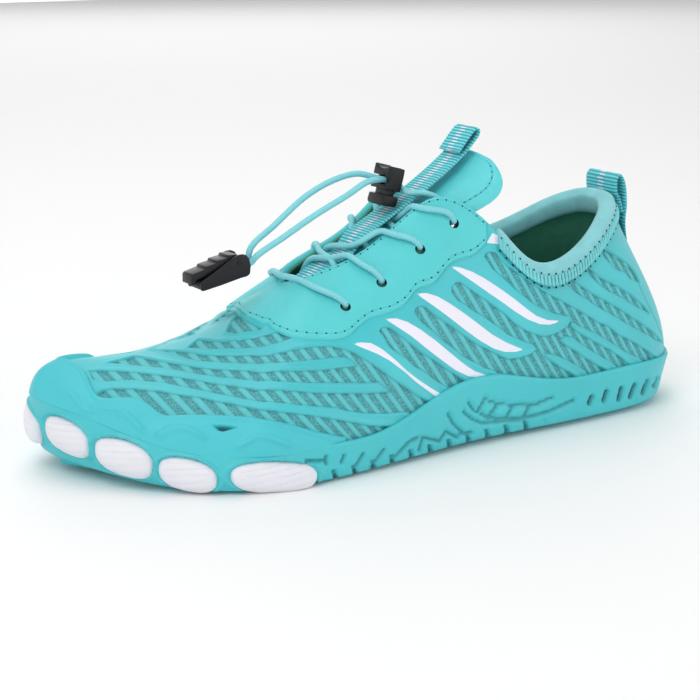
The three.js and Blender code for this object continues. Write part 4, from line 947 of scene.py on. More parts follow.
class Finish(Enum):
    """The finishes of the shoe."""

    UPPER = FilmOverMesh()
    STAY = Leather()
    TONGUE = Leather("tongue_leather", srgb(92, 212, 218))
    TONGUE_MESH = Knit("tongue_mesh", srgb(76, 182, 188), 0.9, 0.3)
    GUARD = Rubber("guard_rubber", srgb(70, 196, 206), roughness=0.5)
    SOLE = Rubber()
    # The pods' second colour is the painted shade in their grooves.
    POD = Rubber("pod_rubber", srgb(232, 231, 238), srgb(150, 150, 160), 0.45)
    WEBBING = Webbing()
    BRAID = Braid()
    CUFF = Knit("soft_cuff", srgb(134, 208, 214), 0.45, 0.08)
    LINING = Knit("lining", srgb(72, 158, 132), 0.6, 0.15, 0.9, 0.1)
    INSOLE = Knit("insole_knit", srgb(40, 132, 124), 0.8, 0.2)
    THREAD = Knit("thread", srgb(120, 214, 218), 0.25, 0.05, 0.6, 0.1)
    STITCH = Knit("stitch", srgb(84, 202, 206), 0.25, 0.05, 0.6, 0.1)
    # Near-black for the pebbles that stand in for needle entries: painted shade of the needle hole.
    HOLE_SHADE = Plastic("needle_hole_shade", srgb(8, 52, 62), 0.9)
    EYELET = Plastic("eyelet_dark", srgb(8, 22, 34), 0.8)
    BLACK = Plastic("black_plastic", srgb(20, 21, 24), 0.3)


def grid_faces(n: int, m: int, round_n: bool = False, round_m: bool = False) -> Array:
    """Quads of a grid of n by m points, optionally closed either way."""
    i, j = np.meshgrid(np.arange(n if round_n else n - 1), np.arange(m if round_m else m - 1),
                       indexing="ij")
    i, j = i.ravel(), j.ravel()
    k, l = (i + 1) % n, (j + 1) % m
    return np.stack([i * m + j, k * m + j, k * m + l, i * m + l], 1)


def closed_sheet(top: Array, back: Array, faces: Array) -> tuple[Array, Array]:
    """Joins a sheet and its back along the sheet's border.

    Args:
        top: points of the face side.
        back: points of the back, one for each of the top.
        faces: quads of the top.

    Returns:
        Points and quads of the closed sheet.
    """
    n = len(top)
    a = faces.ravel()
    b = np.roll(faces, -1, axis=1).ravel()
    border = ~np.isin(a * n + b, b * n + a)
    a, b = a[border], b[border]
    walls = np.stack([b, a, a + n, b + n], 1)
    return np.vstack([top, back]), np.vstack([faces, faces[:, ::-1] + n, walls])


def punch(points: Array, faces: Array, centre: Array, axis: Array, radius: float) -> Array:
    """Cuts a round hole in a dense sheet by moving its nearest points to the rim.

    Args:
        points: the sheet's points, changed in place.
        faces: its quads.
        centre: middle of the hole.
        axis: direction of the hole.
        radius: radius of the hole.

    Returns:
        The faces that stay.
    """
    arm = points - centre
    flat = arm - (arm @ axis)[:, None] * axis
    size = np.linalg.norm(flat, axis=1)
    close = np.abs(arm @ axis) < 6
    inside = (size < radius) & close
    kept = faces[~inside[faces].all(1)]
    rim = np.zeros(len(points), bool)
    rim[kept.ravel()] = True
    move = rim & inside
    points[move] += flat[move] / np.maximum(size[move], 1e-6)[:, None] * (radius - size[move])[:, None]
    return kept


@dataclass
class Workshop:
    """Adds pieces to the scene, each with its finish and body."""

    materials: dict[Finish, bpy.types.Material] = field(default_factory=dict)

    def dress(self, piece: bpy.types.Object, finish: Finish) -> None:
        """Gives a piece its finish."""
        if finish not in self.materials:
            self.materials[finish] = finish.value.material()
        piece.data.materials.clear()
        piece.data.materials.append(self.materials[finish])

    def add(self, name: str, points: Array, faces: Sequence, finish: Finish, slot: str,
            values: dict[str, Array] | None = None, body: str = "shoe",
            stands_for: Sequence[str] = (), sharp: float | None = None) -> bpy.types.Object:
        """Adds one piece.

        Args:
            name: the piece's name.
            points: positions in millimetres.
            faces: corners of each face.
            finish: its finish.
            slot: the record's material slot; not used.
            values: numbers for each point, for the finish.
            body: the body it rides on.
            stands_for: CAD nodes that it replaces.
            sharp: angle in degrees over which an edge stays sharp.

        Returns:
            The new object.
        """
        mesh = bpy.data.meshes.new(name)
        faces = faces.tolist() if isinstance(faces, np.ndarray) else faces
        faces = [face[:3] if len(face) == 4 and face[2] == face[3] else face for face in faces]
        mesh.from_pydata((points * MM).tolist(), [], faces)
        for key, value in (values or {}).items():
            layer = mesh.attributes.new(key, "FLOAT", "POINT")
            layer.data.foreach_set("value", np.ascontiguousarray(value, np.float32).ravel())
        mesh.polygons.foreach_set("use_smooth", np.ones(len(mesh.polygons), bool))
        if sharp is not None:
            mesh.set_sharp_from_angle(angle=math.radians(sharp))
        mesh.update()
        piece = bpy.data.objects.new(name, mesh)
        bpy.context.scene.collection.objects.link(piece)
        self.dress(piece, finish)
        if stands_for:
            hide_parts(*stands_for)
        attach(piece, body)
        triangles = sum(len(f) - 2 for f in faces)
        log.info("%s: %d triangles", name, triangles)
        return piece


def tube_mesh(line: Array, radius: float | Array, sides: int = 14) -> tuple[Array, Array, dict[str, Array]]:
    """Closed round tube along a line, with along and around values."""
    forward, side, up = line_frames(line)
    angles = np.arange(sides) * 2 * math.pi / sides
    size = np.broadcast_to(np.asarray(radius, float), (len(line),))
    ring = side[:, None] * np.cos(angles)[None, :, None] + up[:, None] * np.sin(angles)[None, :, None]
    body = line[:, None] + ring * size[:, None, None]
    cap_a = line[0] - forward[0] * size[0] * 0.45 + ring[0] * size[0] * 0.6
    cap_b = line[-1] + forward[-1] * size[-1] * 0.45 + ring[-1] * size[-1] * 0.6
    body = np.concatenate([cap_a[None], body, cap_b[None]])
    n = len(body)
    faces = grid_faces(n, sides, False, True)[:, ::-1].tolist()
    faces.append(list(range(sides)))
    faces.append([(n - 1) * sides + k for k in range(sides)][::-1])
    gaps = np.concatenate([[0], np.cumsum(np.linalg.norm(np.diff(line, axis=0), axis=1))])
    gaps = np.concatenate([gaps[:1], gaps, gaps[-1:]])
    values = {"along": np.repeat(gaps, sides), "around": np.tile(np.arange(sides) / sides, n)}
    return body.reshape(-1, 3), faces, values


def merge(parts: Sequence[tuple[Array, Sequence, dict]]) -> tuple[Array, list, dict[str, Array]]:
    """Joins several closed forms into one mesh."""
    points, faces, values, start = [], [], {}, 0
    for part_points, part_faces, part_values in parts:
        points.append(part_points)
        rows = part_faces.tolist() if isinstance(part_faces, np.ndarray) else part_faces
        faces.extend([[c + start for c in face] for face in rows])
        start += len(part_points)
        for key, value in part_values.items():
            values.setdefault(key, []).append(value)
    return np.vstack(points), faces, {key: np.concatenate(value) for key, value in values.items()}


def pebble(centre: Array, axes: Sequence[Array], radii: Sequence[float],
           around: int = 10, up: int = 5) -> tuple[Array, list, dict]:
    """Closed ellipsoid with its own axes."""
    a = np.arange(around) * 2 * math.pi / around
    b = np.linspace(-math.pi / 2, math.pi / 2, up + 1)[1:-1]
    a, b = np.meshgrid(a, b)
    local = np.stack([np.cos(a) * np.cos(b) * radii[0], np.sin(a) * np.cos(b) * radii[1],
                      np.sin(b) * radii[2]], -1).reshape(-1, 3)
    ends = np.array([[0, 0, -radii[2]], [0, 0, radii[2]]])
    points = centre + np.vstack([local, ends]) @ np.array(axes)
    n = len(local)
    faces = grid_faces(up - 1, around, False, True).tolist()
    faces = [[f[0], f[3], f[2], f[1]] for f in faces]
    for k in range(around):
        faces.append([k, n, (k + 1) % around][::-1] if False else [(k + 1) % around, n, k][::-1])
        base = (up - 2) * around
        faces.append([base + k, base + (k + 1) % around, n + 1])
    if np.linalg.det(np.array(axes)) < 0:
        faces = [face[::-1] for face in faces]
    return points, faces, {}


def stitches(line: Array, normal: Array, pitch: float, radius: float = 0.3,
             lift: float = 0.0) -> tuple[list, list]:
    """Dark spots of painted shade where the needle goes in, and threads along a line on a surface.

    Args:
        line: positions along the seam.
        normal: outward directions there.
        pitch: length of one stitch.
        radius: half the thread's width.
        lift: height above the line.

    Returns:
        Forms of the painted shade at each needle hole, and thread forms.
    """
    both = even_line(np.hstack([line, normal]), pitch / 2)
    spots, ups = both[:, :3], unit(both[:, 3:])
    hole_shades, threads = [], []
    for i in range(0, len(spots) - 2, 2):
        up = ups[i]
        run = unit(spots[i + 2] - spots[i])
        side = np.cross(up, run)
        # A flat near-black pebble on the surface stands for the needle hole: painted shade.
        hole_shades.append(pebble(spots[i] + up * (lift + 0.02), (run, side, up), (0.42, 0.36, 0.12), 8, 4))
        middle = spots[i + 1] + ups[i + 1] * lift
        threads.append(pebble(middle, (run, side, up), (pitch * 0.36, radius, 0.2), 8, 5))
    return hole_shades, threads


def paired_rows(columns: int, dense: float = 0.0) -> Array:
    """Rows once round the shoe, the same on both sides, from the heel to the heel."""
    side = np.linspace(0, ROWS / 2, columns + 1)
    return np.concatenate([side, ROWS - side[1:-1][::-1]])


def blend_matrix(count: int, samples: int, closed: bool = True) -> Array:
    """Weights that turn a few points into a smooth line of samples."""
    basis = np.eye(count)
    steps = np.arange(samples) * count / samples if closed else np.linspace(0, count - 1, samples)
    return np.stack([curve(basis[k], closed)(steps) for k in range(count)], -1)


@dataclass
class SubAssembly:
    """What every part of the shoe is built from."""

    last: Last
    chart: Chart
    shop: Workshop

    def stay_low(self, row: Array) -> Array:
        """Height of the eyestay's lower edge."""
        rows, heights = self.chart.stay
        return np.interp(np.abs(folded(row)), rows, heights)

    def guard_top(self, row: Array) -> Array:
        """Height of the toe guard's upper edge."""
        rows, heights = zip(*GUARD_TOP)
        fine = np.linspace(0, len(rows) - 1, 300)
        return np.interp(np.mod(row, ROWS), curve(rows, False)(fine), curve(heights, False)(fine))

    def tall(self, row: Array) -> Array:
        """Length of the column over a row."""
        return np.interp(np.abs(folded(row)), self.chart.rows, self.chart.tall)


@dataclass
class Upper(SubAssembly):
    """Upper: film moulded over a knit with slanted bars, and the lining."""

    film_rise: float = 0.55
    lip_rise: float = 0.3
    floor: float = -0.45
    bar_rise: float = 0.6
    stripe_rise: float = 0.2
    edge: float = 0.3
    columns: tuple[int, int] = (600, 390)
    levels: tuple[int, int] = (140, 100)

    def bar_count(self, rows: Array, heights: Array) -> Array:
        """Number of slanted bars up to a point, from their slant and pitch."""
        r = np.maximum(np.abs(folded(rows)), 1.6)
        spot = self.chart.view.project(self.last.form(r, heights, np.ones_like(r)))
        u, v = spot[..., 0], spot[..., 1]
        c = u
        for _ in range(3):
            c = u - np.interp(c, (230, 350, 420, 500, 640), (0.92, 0.7, 0.62, 0.57, 0.5)) * (v - 330)
        return -np.log(np.clip(1 - 0.0232 * (c - 240) / 16.4, 0.2, 3)) / 0.0232

    def bars(self, rows: Array, heights: Array) -> Array:
        """The same count, run on evenly behind the heel."""
        r = np.abs(folded(rows))
        here = self.bar_count(rows, heights)
        slope = self.bar_count(np.full_like(r, 2.0), heights) - self.bar_count(np.full_like(r, 1.7), heights)
        return here + np.minimum(r - 1.6, 0) * slope / 0.3

    def measure(self, rows: Array, heights: Array) -> dict[str, Array]:
        """Distances to the film's windows and stripes, and the count of bars."""
        spots = self.chart.flat(rows, heights)
        nearest = [np.min([signed_distance(spots, self.chart.outline_of(p)) for p in group], axis=0)
                   for group in (WINDOWS, RIBS, STRIPES)]
        seam = stroke_distance(spots, self.chart.outline_of(HEEL_SEAM))
        return {"film": np.maximum(nearest[0], -nearest[1]), "stripe": nearest[2],
                "strip": self.bars(rows, heights), "seam": seam}

    def covered(self, rows: Array, heights: Array) -> Array:
        """1 under the eyestay, the toe guard and the sole's wall, else 0."""
        r, tall = np.abs(folded(rows)), self.tall(rows)
        stay = smooth_step((heights - self.stay_low(rows)) * tall, 0, 2)
        stay = stay * smooth_step(r, 5.1, 5.25) * (1 - smooth_step(r, 9.5, 9.65))
        guard = smooth_step((self.guard_top(rows) - heights) * tall, 0, 2)
        ring = np.mod(rows, ROWS)
        guard = guard * smooth_step(ring, 7.4, 7.6) * (1 - smooth_step(ring, 16.5, 16.7))
        wall = smooth_step((self.last.rand(rows) - heights) * tall, 0, 1.5)
        cuff = smooth_step((heights - 1) * tall + 5, 0, 2) * (1 - smooth_step(r, 4.9, 5.1))
        return np.maximum.reduce([stay, guard, wall, cuff])

    def skin(self, name: str, rows: Array, levels: int, mirrored: bool) -> None:
        """One side of the outer surface."""
        heights = np.linspace(0.03, 1, levels)
        r, h = np.meshgrid(rows, heights, indexing="ij")
        values = self.measure(r, h)
        film = smooth_step(values["film"], -self.edge, self.edge)
        wave = np.abs(np.mod(values["strip"], 1) - 0.5) * 2
        bar = smooth_step(wave, 0.3, 0.7) * self.bar_rise
        stripe = 1 - smooth_step(values["stripe"], -0.5, 0.2)
        rise = self.floor + bar * (1 - film) + film * (self.film_rise - self.floor)
        rise = rise + stripe * film * self.stripe_rise
        rise = rise + self.lip_rise * np.exp(-((values["film"] - 0.8) / 0.55) ** 2)
        rise = rise - 0.5 * np.exp(-(values["seam"] / 0.5) ** 2)
        covered = self.covered(r, h)
        rise = rise * (1 - covered) + np.minimum(rise, 0.1) * covered
        points = self.last.form(r, h, rise).reshape(-1, 3)
        faces = grid_faces(len(rows), levels)
        open_top = np.arange(len(rows))[np.abs(folded(rows)) < RIDGE_ROW]
        rim = open_top * levels + levels - 1
        inner = self.last.form(rows[open_top], np.ones(len(open_top)), -0.5 * np.ones(len(open_top)))
        turned = len(points) + np.arange(len(rim))
        lip = np.stack([rim[:-1], rim[1:], turned[1:], turned[:-1]], 1)
        lip = lip[np.diff(open_top) == 1]
        points = np.vstack([points, inner])
        faces = np.vstack([faces[:, ::-1], lip[:, ::-1]])
        if mirrored:
            pass
        values = {key: np.concatenate([value.ravel(), value.reshape(len(rows), levels)[open_top, -1]])
                  for key, value in values.items()}
        keep = self.cut_eyelets(points, faces)
        stands = ("upper",) if not mirrored else ()
        self.shop.add(name, points, keep, Finish.UPPER, "upper", values, stands_for=stands)

    def cut_eyelets(self, points: Array, faces: Array) -> Array:
        """Opens the eyelets in a sheet."""
        for row, height in EYELETS:
            for side in (1, -1):
                spot = self.last.point(side * row, height)
                normal = self.last.normal(side * row, height)
                if np.linalg.norm(points - spot, axis=1).min() < 3:
                    faces = punch(points, faces, spot, normal, EYELET_RADIUS)
        return faces

    def lining(self) -> None:
        """Dark inner surface, joined to the film's edge."""
        columns, levels = 220, 40
        rows = paired_rows(columns)
        heights = np.linspace(0.02, 1, levels)
        r, h = np.meshgrid(rows, heights, indexing="ij")
        face = self.last.form(r, h, -UPPER_WALL + 0 * r).reshape(-1, 3)
        back = self.last.form(r, h, -0.5 + 0 * r).reshape(-1, 3)
        faces = grid_faces(len(rows), levels, True)
        index = np.arange(len(rows) * levels)
        for k in range(columns + 1, len(rows)):
            if np.abs(folded(rows[k])) >= RIDGE_ROW:
                index[k * levels + levels - 1] = (len(rows) - k) * levels + levels - 1
        faces = index[faces]
        points, faces = closed_sheet(face, back, faces)
        used = np.unique(faces)
        lookup = np.zeros(len(points), int)
        lookup[used] = np.arange(len(used))
        points, faces = points[used], lookup[faces]
        faces = self.cut_eyelets(points, faces)
        self.shop.add("upper_lining", points, faces, Finish.LINING, "upper")

    def build(self) -> None:
        """Builds both sides and the lining."""
        side = np.linspace(0, 12, self.columns[0])
        self.skin("upper_lateral", side, self.levels[0], False)
        self.skin("upper_medial", np.linspace(12, 24, self.columns[1]), self.levels[1], True)
        self.lining()


@dataclass
class Overlays(SubAssembly):
    """Eyestay with its seams, and the toe guard."""

    first: float = 5.15
    last_row: float = 9.6
    seat: float = 0.28
    stitch: float = 3.7
    bead: float = 0.5
    lump_rise: float = 1.3
    lumps: tuple = ((8.7, 0.22, 9.0), (9.75, 0.27, 8.0), (10.6, 0.33, 8.0), (11.4, 0.42, 8.0),
                    (12.4, 0.5, 11.0))

    def stay(self) -> None:
        """Eyestay: both sides of the throat in one sheet."""
        n, m = 160, 54
        rows = np.linspace(self.first, self.last_row, n)
        points, faces = [], []
        index = []
        for side in (1, -1):
            low = self.stay_low(rows)
            share = np.linspace(0, 1, m)
            h = low[:, None] + (1 - low[:, None]) * share
            r = np.repeat(rows[:, None], m, 1)
            tall = self.tall(r)
            gap = np.minimum((h - low[:, None]) * tall, (r - self.first) * 38)
            open_side = np.where(r < RIDGE_ROW, (1 - h) * tall, 9.0)
            gap = np.minimum(gap, open_side)
            end = (self.last_row - r) * 28
            gap = np.minimum(gap, np.where(side == 1, end, end))
            rise = self.seat + STAY_THICKNESS * np.sqrt(np.clip(1 - (1 - np.clip(gap / 0.9, 0, 1)) ** 2, 0, 1))
            groove = np.exp(-((gap - 2.4) / 0.45) ** 2) * 0.12
            points.append(np.stack([self.last.form(side * r, h, rise - groove),
                                    self.last.form(side * r, h, self.seat - 0.25 + 0 * r)]))
            index.append(np.arange(n * m).reshape(n, m) + (0 if side == 1 else n * m))
        ridge = rows >= RIDGE_ROW
        index[1][ridge, -1] = index[0][ridge, -1]
        base = grid_faces(n, m)
        near = index[0].ravel()[base][:, ::-1]
        far = index[1].ravel()[base]
        top = np.concatenate([points[0][0].reshape(-1, 3), points[1][0].reshape(-1, 3)])
        back = np.concatenate([points[0][1].reshape(-1, 3), points[1][1].reshape(-1, 3)])
        sheet, faces = closed_sheet(top, back, np.vstack([near, far]))
        used = np.unique(faces)
        lookup = np.zeros(len(sheet), int)
        lookup[used] = np.arange(len(used))
        sheet, faces = sheet[used], lookup[faces]
        for row, height in EYELETS:
            for side in (1, -1):
                faces = punch(sheet, faces, self.last.point(side * row, height),
                              self.last.normal(side * row, height), EYELET_RADIUS)
        self.shop.add("eyestay_leather", sheet, faces, Finish.STAY, "eyestay", stands_for=("eyestay",))

    def seams(self) -> None:
        """Dotted seams of the eyestay on both sides."""
        hole_shades, threads = [], []
        rows = np.linspace(self.first + 0.08, self.last_row - 0.12, 240)
        tall = self.tall(rows)
        for side in (1, -1):
            for inset, pitch, upper in ((2.4, self.stitch, False), (1.9, 3.4, True)):
                r = rows[rows < 8.7] if upper else rows
                t = tall[:len(r)]
                h = 1 - inset / t if upper else self.stay_low(r) + inset / t
                line = self.last.form(side * r, h, np.full(len(r), self.seat + STAY_THICKNESS - 0.08))
                a, b = stitches(line, self.last.normal(side * r, h), pitch)
                hole_shades += a
                threads += b
        for name, forms, finish in (("eyestay_needle_holes", hole_shades, Finish.HOLE_SHADE),
                                    ("eyestay_stitches", threads, Finish.STITCH)):
            points, faces, values = merge(forms)
            self.shop.add(name, points, faces, finish, "eyestay")

    def guard(self) -> None:
        """Toe guard with its rolled top edge and folds."""
        n, m = 380, 66
        rows = np.linspace(GUARD_TOP[0][0], GUARD_TOP[-1][0], n)
        low = self.last.rand(rows) - 0.02
        high = np.maximum(self.guard_top(rows), low + 0.03)
        r = np.repeat(rows[:, None], m, 1)
        h = low[:, None] + (high - low)[:, None] * np.linspace(0, 1, m)
        tall = self.tall(r)
        ends = np.minimum(r - rows[0], rows[-1] - r) * 30
        gap = np.minimum((high[:, None] - h) * tall, ends)
        thick = GUARD_THICKNESS * smooth_step(ends, 0, 9) * 0.75 + GUARD_THICKNESS * 0.25
        rise = 0.2 + thick * np.sqrt(np.clip(1 - (1 - np.clip(gap / 1.3, 0, 1)) ** 2, 0, 1))
        rise = rise + self.bead * np.exp(-((gap - 1.5) / 1.0) ** 2)
        spots = self.chart.flat(r, h)
        lateral = r <= 12.0
        for fold in GUARD_FOLDS:
            gap = stroke_distance(spots, self.chart.outline_of(fold))
            rise = rise + np.where(lateral, 1.1 * np.exp(-(gap / 1.2) ** 2), 0)
        for row, height, size in self.lumps:
            away = ((r - row) * 27 / size) ** 2 + ((h - height) * tall / (size * 0.8)) ** 2
            rise = rise + self.lump_rise * np.exp(-away) * smooth_step(ends, 0, 9)
        hole = signed_distance(spots, self.chart.outline_of(GUARD_HOLE))
        pit = np.where(lateral, 1 - smooth_step(hole, -0.7, 0.4), 0)
        rise = rise - pit * (rise - 0.3)
        top = self.last.form(r, h, rise).reshape(-1, 3)
        back = self.last.form(r, h, 0.02 + 0 * r).reshape(-1, 3)
        points, faces = closed_sheet(top, back, grid_faces(n, m)[:, ::-1])
        # The opening's depth value, which the rubber finish uses to paint shade in it.
        deep = np.concatenate([pit.ravel() * 1.2, np.zeros(n * m)])
        self.shop.add("toe_guard_rubber", points, faces, Finish.GUARD, "guard", {"deep": deep},
                      stands_for=("toe_guard",))

    def build(self) -> None:
        """Builds the eyestay, its seams and the guard."""
        self.stay()
        self.seams()
        self.guard()


@dataclass
class Sole(SubAssembly):
    """Outsole cup with grooved wall and tread, toe pods and insole."""

    columns: int = 540
    notch_pitch: float = 9.0
    droop: float = 1.22
    rim_rise: float = 1.1
    slant: float = 1.7
    groove_depth: float = 1.5
    tread_lines: tuple = (150, 164, 178, 192, 206, 220, 66, 54)

    def wall(self, r: Array) -> Array:
        """Wall of the sole from its tread edge up to its rim, as control points."""
        last = self.last
        belly = last.belly(r)
        lift, arch, rand = last.lift(r), last.arch(r), last.rand(r)
        spare = np.maximum(lift - 0.75 * SOLE_THICKNESS, 0)
        return np.stack([
            last.outline(r, 18 + 0 * r, arch + spare * 0.25)[0],
            last.outline(r, 9 + 0 * r, arch + spare * 0.55)[0],
            last.outline(r, 4.2 + 0 * r, np.maximum(lift * 0.45, arch))[0],
            last.outline(r, 1.4 + 0 * r, lift)[0],
            last.outline(r, 0 * r, belly)[0],
            last.form(r, rand, RAND_WALL + 0 * r),
        ], 1)

    def outsole(self) -> None:
        """Outsole as one closed form."""
        rows = paired_rows(self.columns)
        n = len(rows)
        control = self.wall(rows)
        weights = blend_matrix(6, 60, False)
        fine = np.einsum("sk,nkc->nsc", weights, control)
        fine[..., 2] = np.maximum(fine[..., 2], 0)
        flat = control[:, :1]
        skirt = fine[:, 12:]
        m = skirt.shape[1]
        normals = unit(np.cross(np.gradient(skirt, axis=0), np.gradient(skirt, axis=1)))
        out = self.last.outline(rows, 0 * rows, 0 * rows)[1]
        turn = np.sign((normals * out[:, None]).sum(-1).mean())
        normals = normals * turn
        seen = self.chart.view.project(skirt)
        facing = ((self.chart.view.place() - skirt) * normals).sum(-1) > 0
        side = np.abs(folded(rows)) * np.sign(folded(rows) + 1e-9)
        lateral = (rows <= 12.5)[:, None] & facing
        # Depth of the wall's grooves, slots and notches, which the rubber finish also uses to paint shade in them.
        deep = np.zeros((n, m))
        for stroke in SOLE_GROOVES:
            line = np.array(stroke, float)
            gap = stroke_distance(seen, line, 8.0)
            scale = 0.39
            near = np.where(lateral, np.exp(-(np.maximum(gap * scale - 0.25, 0) / 0.45) ** 2), 0)
            deep = np.maximum(deep, near)
        for slot in SOLE_SLOTS:
            gap = stroke_distance(seen, np.array(slot, float), 8.0)
            deep = np.maximum(deep, np.where(lateral, (1 - smooth_step(gap * 0.39, 0.5, 1.3)) * 1.25, 0))
        mirror = np.concatenate([[0], np.arange(n - 1, 0, -1)])
        reflected = deep[mirror]
        medial = (rows > 12.5)[:, None]
        deep = np.where(medial, reflected, deep)
        deep = np.maximum(deep, self.edge_notches(rows, skirt))
        top_fade = 1 - smooth_step(np.linspace(0, 1, m), 0.9, 1.0)
        deep = deep * top_fade
        skirt = skirt - normals * (deep * self.groove_depth)[..., None]
        skirt = self.pockets(skirt, normals, 0.15)
        rand = self.last.rand(rows)
        lip = [self.last.form(rows, rand + 0.012, np.full(n, d)) for d in (1.9, 1.2, 0.5)]
        inner = [self.last.form(rows, rand * s, np.full(n, 0.3)) for s in (0.97, 0.7, 0.4, 0.12)]
        rings = np.concatenate([skirt, np.stack(lip + inner, 1)], 1)
        deep = np.concatenate([deep, np.zeros((n, 7))], 1)
        k = rings.shape[1]
        points = rings.reshape(-1, 3)
        faces = [grid_faces(n, k, True)]
        values = deep.ravel()
        half = self.columns
        bottom, bottom_faces, bottom_deep = self.across(rows, rings[:, 0], 0, k, 42, len(points), True)
        top, top_faces, _ = self.across(rows, rings[:, -1], k - 1, k, 8, len(points) + len(bottom), False)
        points = np.vstack([points, bottom, top])
        faces = np.vstack(faces + [bottom_faces, top_faces])
        values = np.concatenate([values, bottom_deep, np.zeros(len(top))])
        self.shop.add("outsole_rubber", points, faces[:, ::-1] if turn > 0 else faces, Finish.SOLE, "sole",
                      {"deep": values}, stands_for=("outsole",))

    def edge_notches(self, rows: Array, skirt: Array) -> Array:
        """Slanted notches along the lower edge of the wall, between heel and toes."""
        r = np.abs(folded(rows))[:, None]
        walk = np.interp(r, self.chart.rows, self.chart.reach)
        rise = skirt[..., 2] - self.last.lift(rows)[:, None]
        wave = np.abs(np.mod((walk - rise * 0.5) / self.notch_pitch, 1) - 0.5) * 2
        notch = smooth_step(wave, 0.72, 0.86) * (1 - smooth_step(rise, 2.4, 3.4))
        return notch * smooth_step(r, 4.2, 4.4) * (1 - smooth_step(r, 7.9, 8.05))

    def across(self, rows: Array, ring: Array, ring_at: int, stride: int, count: int, start: int,
               tread: bool) -> tuple[Array, Array, Array]:
        """Closes a ring with lines from side to side.

        Args:
            rows: rows of the ring.
            ring: its points.
            ring_at: place of the ring among the levels.
            stride: number of levels.
            count: inner points of each line.
            start: index of the first new point.
            tread: whether tread grooves are cut.

        Returns:
            New points, faces and depths.
        """
        half, n = self.columns, len(rows)
        near, far = np.arange(1, half), n - np.arange(1, half)
        share = smooth_step(np.linspace(0, 1, count + 2), 0, 1)[1:-1] * 0.4 + np.linspace(0, 1, count + 2)[1:-1] * 0.6
        lines = ring[near][:, None] * (1 - share)[:, None] + ring[far][:, None] * share[:, None]
        deep = np.zeros(lines.shape[:2])
        if tread:
            flat_z = np.minimum(self.last.arch(rows), 99)
            middle = 4 * share * (1 - share)
            lines[..., 2] = lines[..., 2] * (1 - middle * 0.75)
            along = HEEL_CENTRE - lines[..., 0]
            for stop in self.tread_lines:
                wave = along - stop - 2.0 * np.sin(lines[..., 1] * 0.18)
                deep = np.maximum(deep, np.exp(-(wave / 1.0) ** 4) * smooth_step(middle, 0.12, 0.3))
            lines[..., 2] += deep * 1.6
        index = np.zeros((half - 1, count + 2), int)
        index[:, 0] = near * stride + ring_at
        index[:, -1] = far * stride + ring_at
        index[:, 1:-1] = start + np.arange((half - 1) * count).reshape(half - 1, count)
        faces = index.ravel()[grid_faces(half - 1, count + 2)]
        first = np.full(count + 2, ring_at)
        last_ring = np.full(count + 2, half * stride + ring_at)
        ends = []
        for j in range(count + 1):
            ends.append([0 * stride + ring_at, index[0, j], index[0, j + 1], index[0, j + 1]])
            ends.append([last_ring[0], index[-1, j + 1], index[-1, j], index[-1, j]])
        faces = np.vstack([faces if tread else faces[:, ::-1]])
        self.fans = getattr(self, "fans", [])
        fan = np.array([e[:3] + [e[2]] for e in ends])
        if not tread:
            fan = np.stack([fan[:, 0], fan[:, 2], fan[:, 1], fan[:, 1]], 1)
        return lines.reshape(-1, 3), np.vstack([faces, fan]), deep.ravel()

    def pockets(self, skirt: Array, normals: Array, room: float) -> Array:
        """Presses the pods' seats into the wall."""
        for row, middle, long, tall in PODS:
            spot, out = self.last.outline(np.array(row), np.array(POD_INSET), np.array(middle))
            side = np.cross(out, [0, 0, 1])
            arm = skirt - spot
            heelward = np.sign((self.last.outline(np.array(row - 0.1), np.array(POD_INSET),
                                                  np.array(middle))[0] - spot) @ side)
            a = arm @ side
            b = arm[..., 2] + heelward * np.clip(a / long, -1.2, 1.2) * self.slant
            c = arm @ out
            low = np.where(b < 0, self.droop, 1.0)
            inside = np.sqrt((a / (long + room)) ** 2 + (b / (tall * low + room)) ** 2)
            facing = np.abs(c) < POD_DEPTH + 6
            target = POD_DEPTH * 0.2
            push = np.where((inside < 1) & facing & (c > target), c - target, 0)
            rim = np.where(facing & (b > -tall), np.exp(-((inside - 1.13) / 0.07) ** 2) * self.rim_rise, 0)
            skirt = skirt + (rim - push)[..., None] * out
        return skirt

    def pods(self) -> None:
        """Toe pods with fine tread grooves."""
        for i, (row, middle, long, tall) in enumerate(PODS):
            spot, out = self.last.outline(np.array(row), np.array(POD_INSET), np.array(middle))
            side = np.cross(out, [0, 0, 1])
            around, up = 110, 60
            a = np.arange(around) * 2 * math.pi / around
            b = np.linspace(-math.pi / 2, math.pi / 2, up + 1)[1:-1]
            b, a = np.meshgrid(b, a, indexing="ij")
            power = 0.8
            ca, sa, cb, sb = np.cos(a), np.sin(a), np.cos(b), np.sin(b)
            shape = lambda v: np.sign(v) * np.abs(v) ** power
            local = np.stack([shape(ca) * shape(cb) * long, shape(sa) * shape(cb) * POD_DEPTH,
                              shape(sb) * tall], -1)
            size = np.linalg.norm(local, axis=-1, keepdims=True)
            wave = local[..., 2] + local[..., 0] * 0.22
            groove = smooth_step(np.abs(np.mod(wave / 2.3, 1) - 0.5), 0.34, 0.46)
            groove = groove * smooth_step(1 - np.abs(local[..., 0]) / long, 0.05, 0.2)
            local = local * (1 - groove[..., None] * [0.0, 0.06, 0.0])
            sag = np.clip(-local[..., 2] / tall, 0, 1)
            local[..., 2] *= np.where(local[..., 2] < 0, self.droop, 1.0)
            local[..., 1] -= sag**2 * 1.6
            heelward = np.sign((self.last.outline(np.array(row - 0.1), np.array(POD_INSET),
                                                  np.array(middle))[0] - spot) @ side)
            local[..., 2] -= heelward * local[..., 0] / long * self.slant
            world = spot + local[..., :1] * side + local[..., 1:2] * out + local[..., 2:] * [0, 0, 1]
            world[..., 2] = np.maximum(world[..., 2], 0.0)
            body = world.reshape(-1, 3)
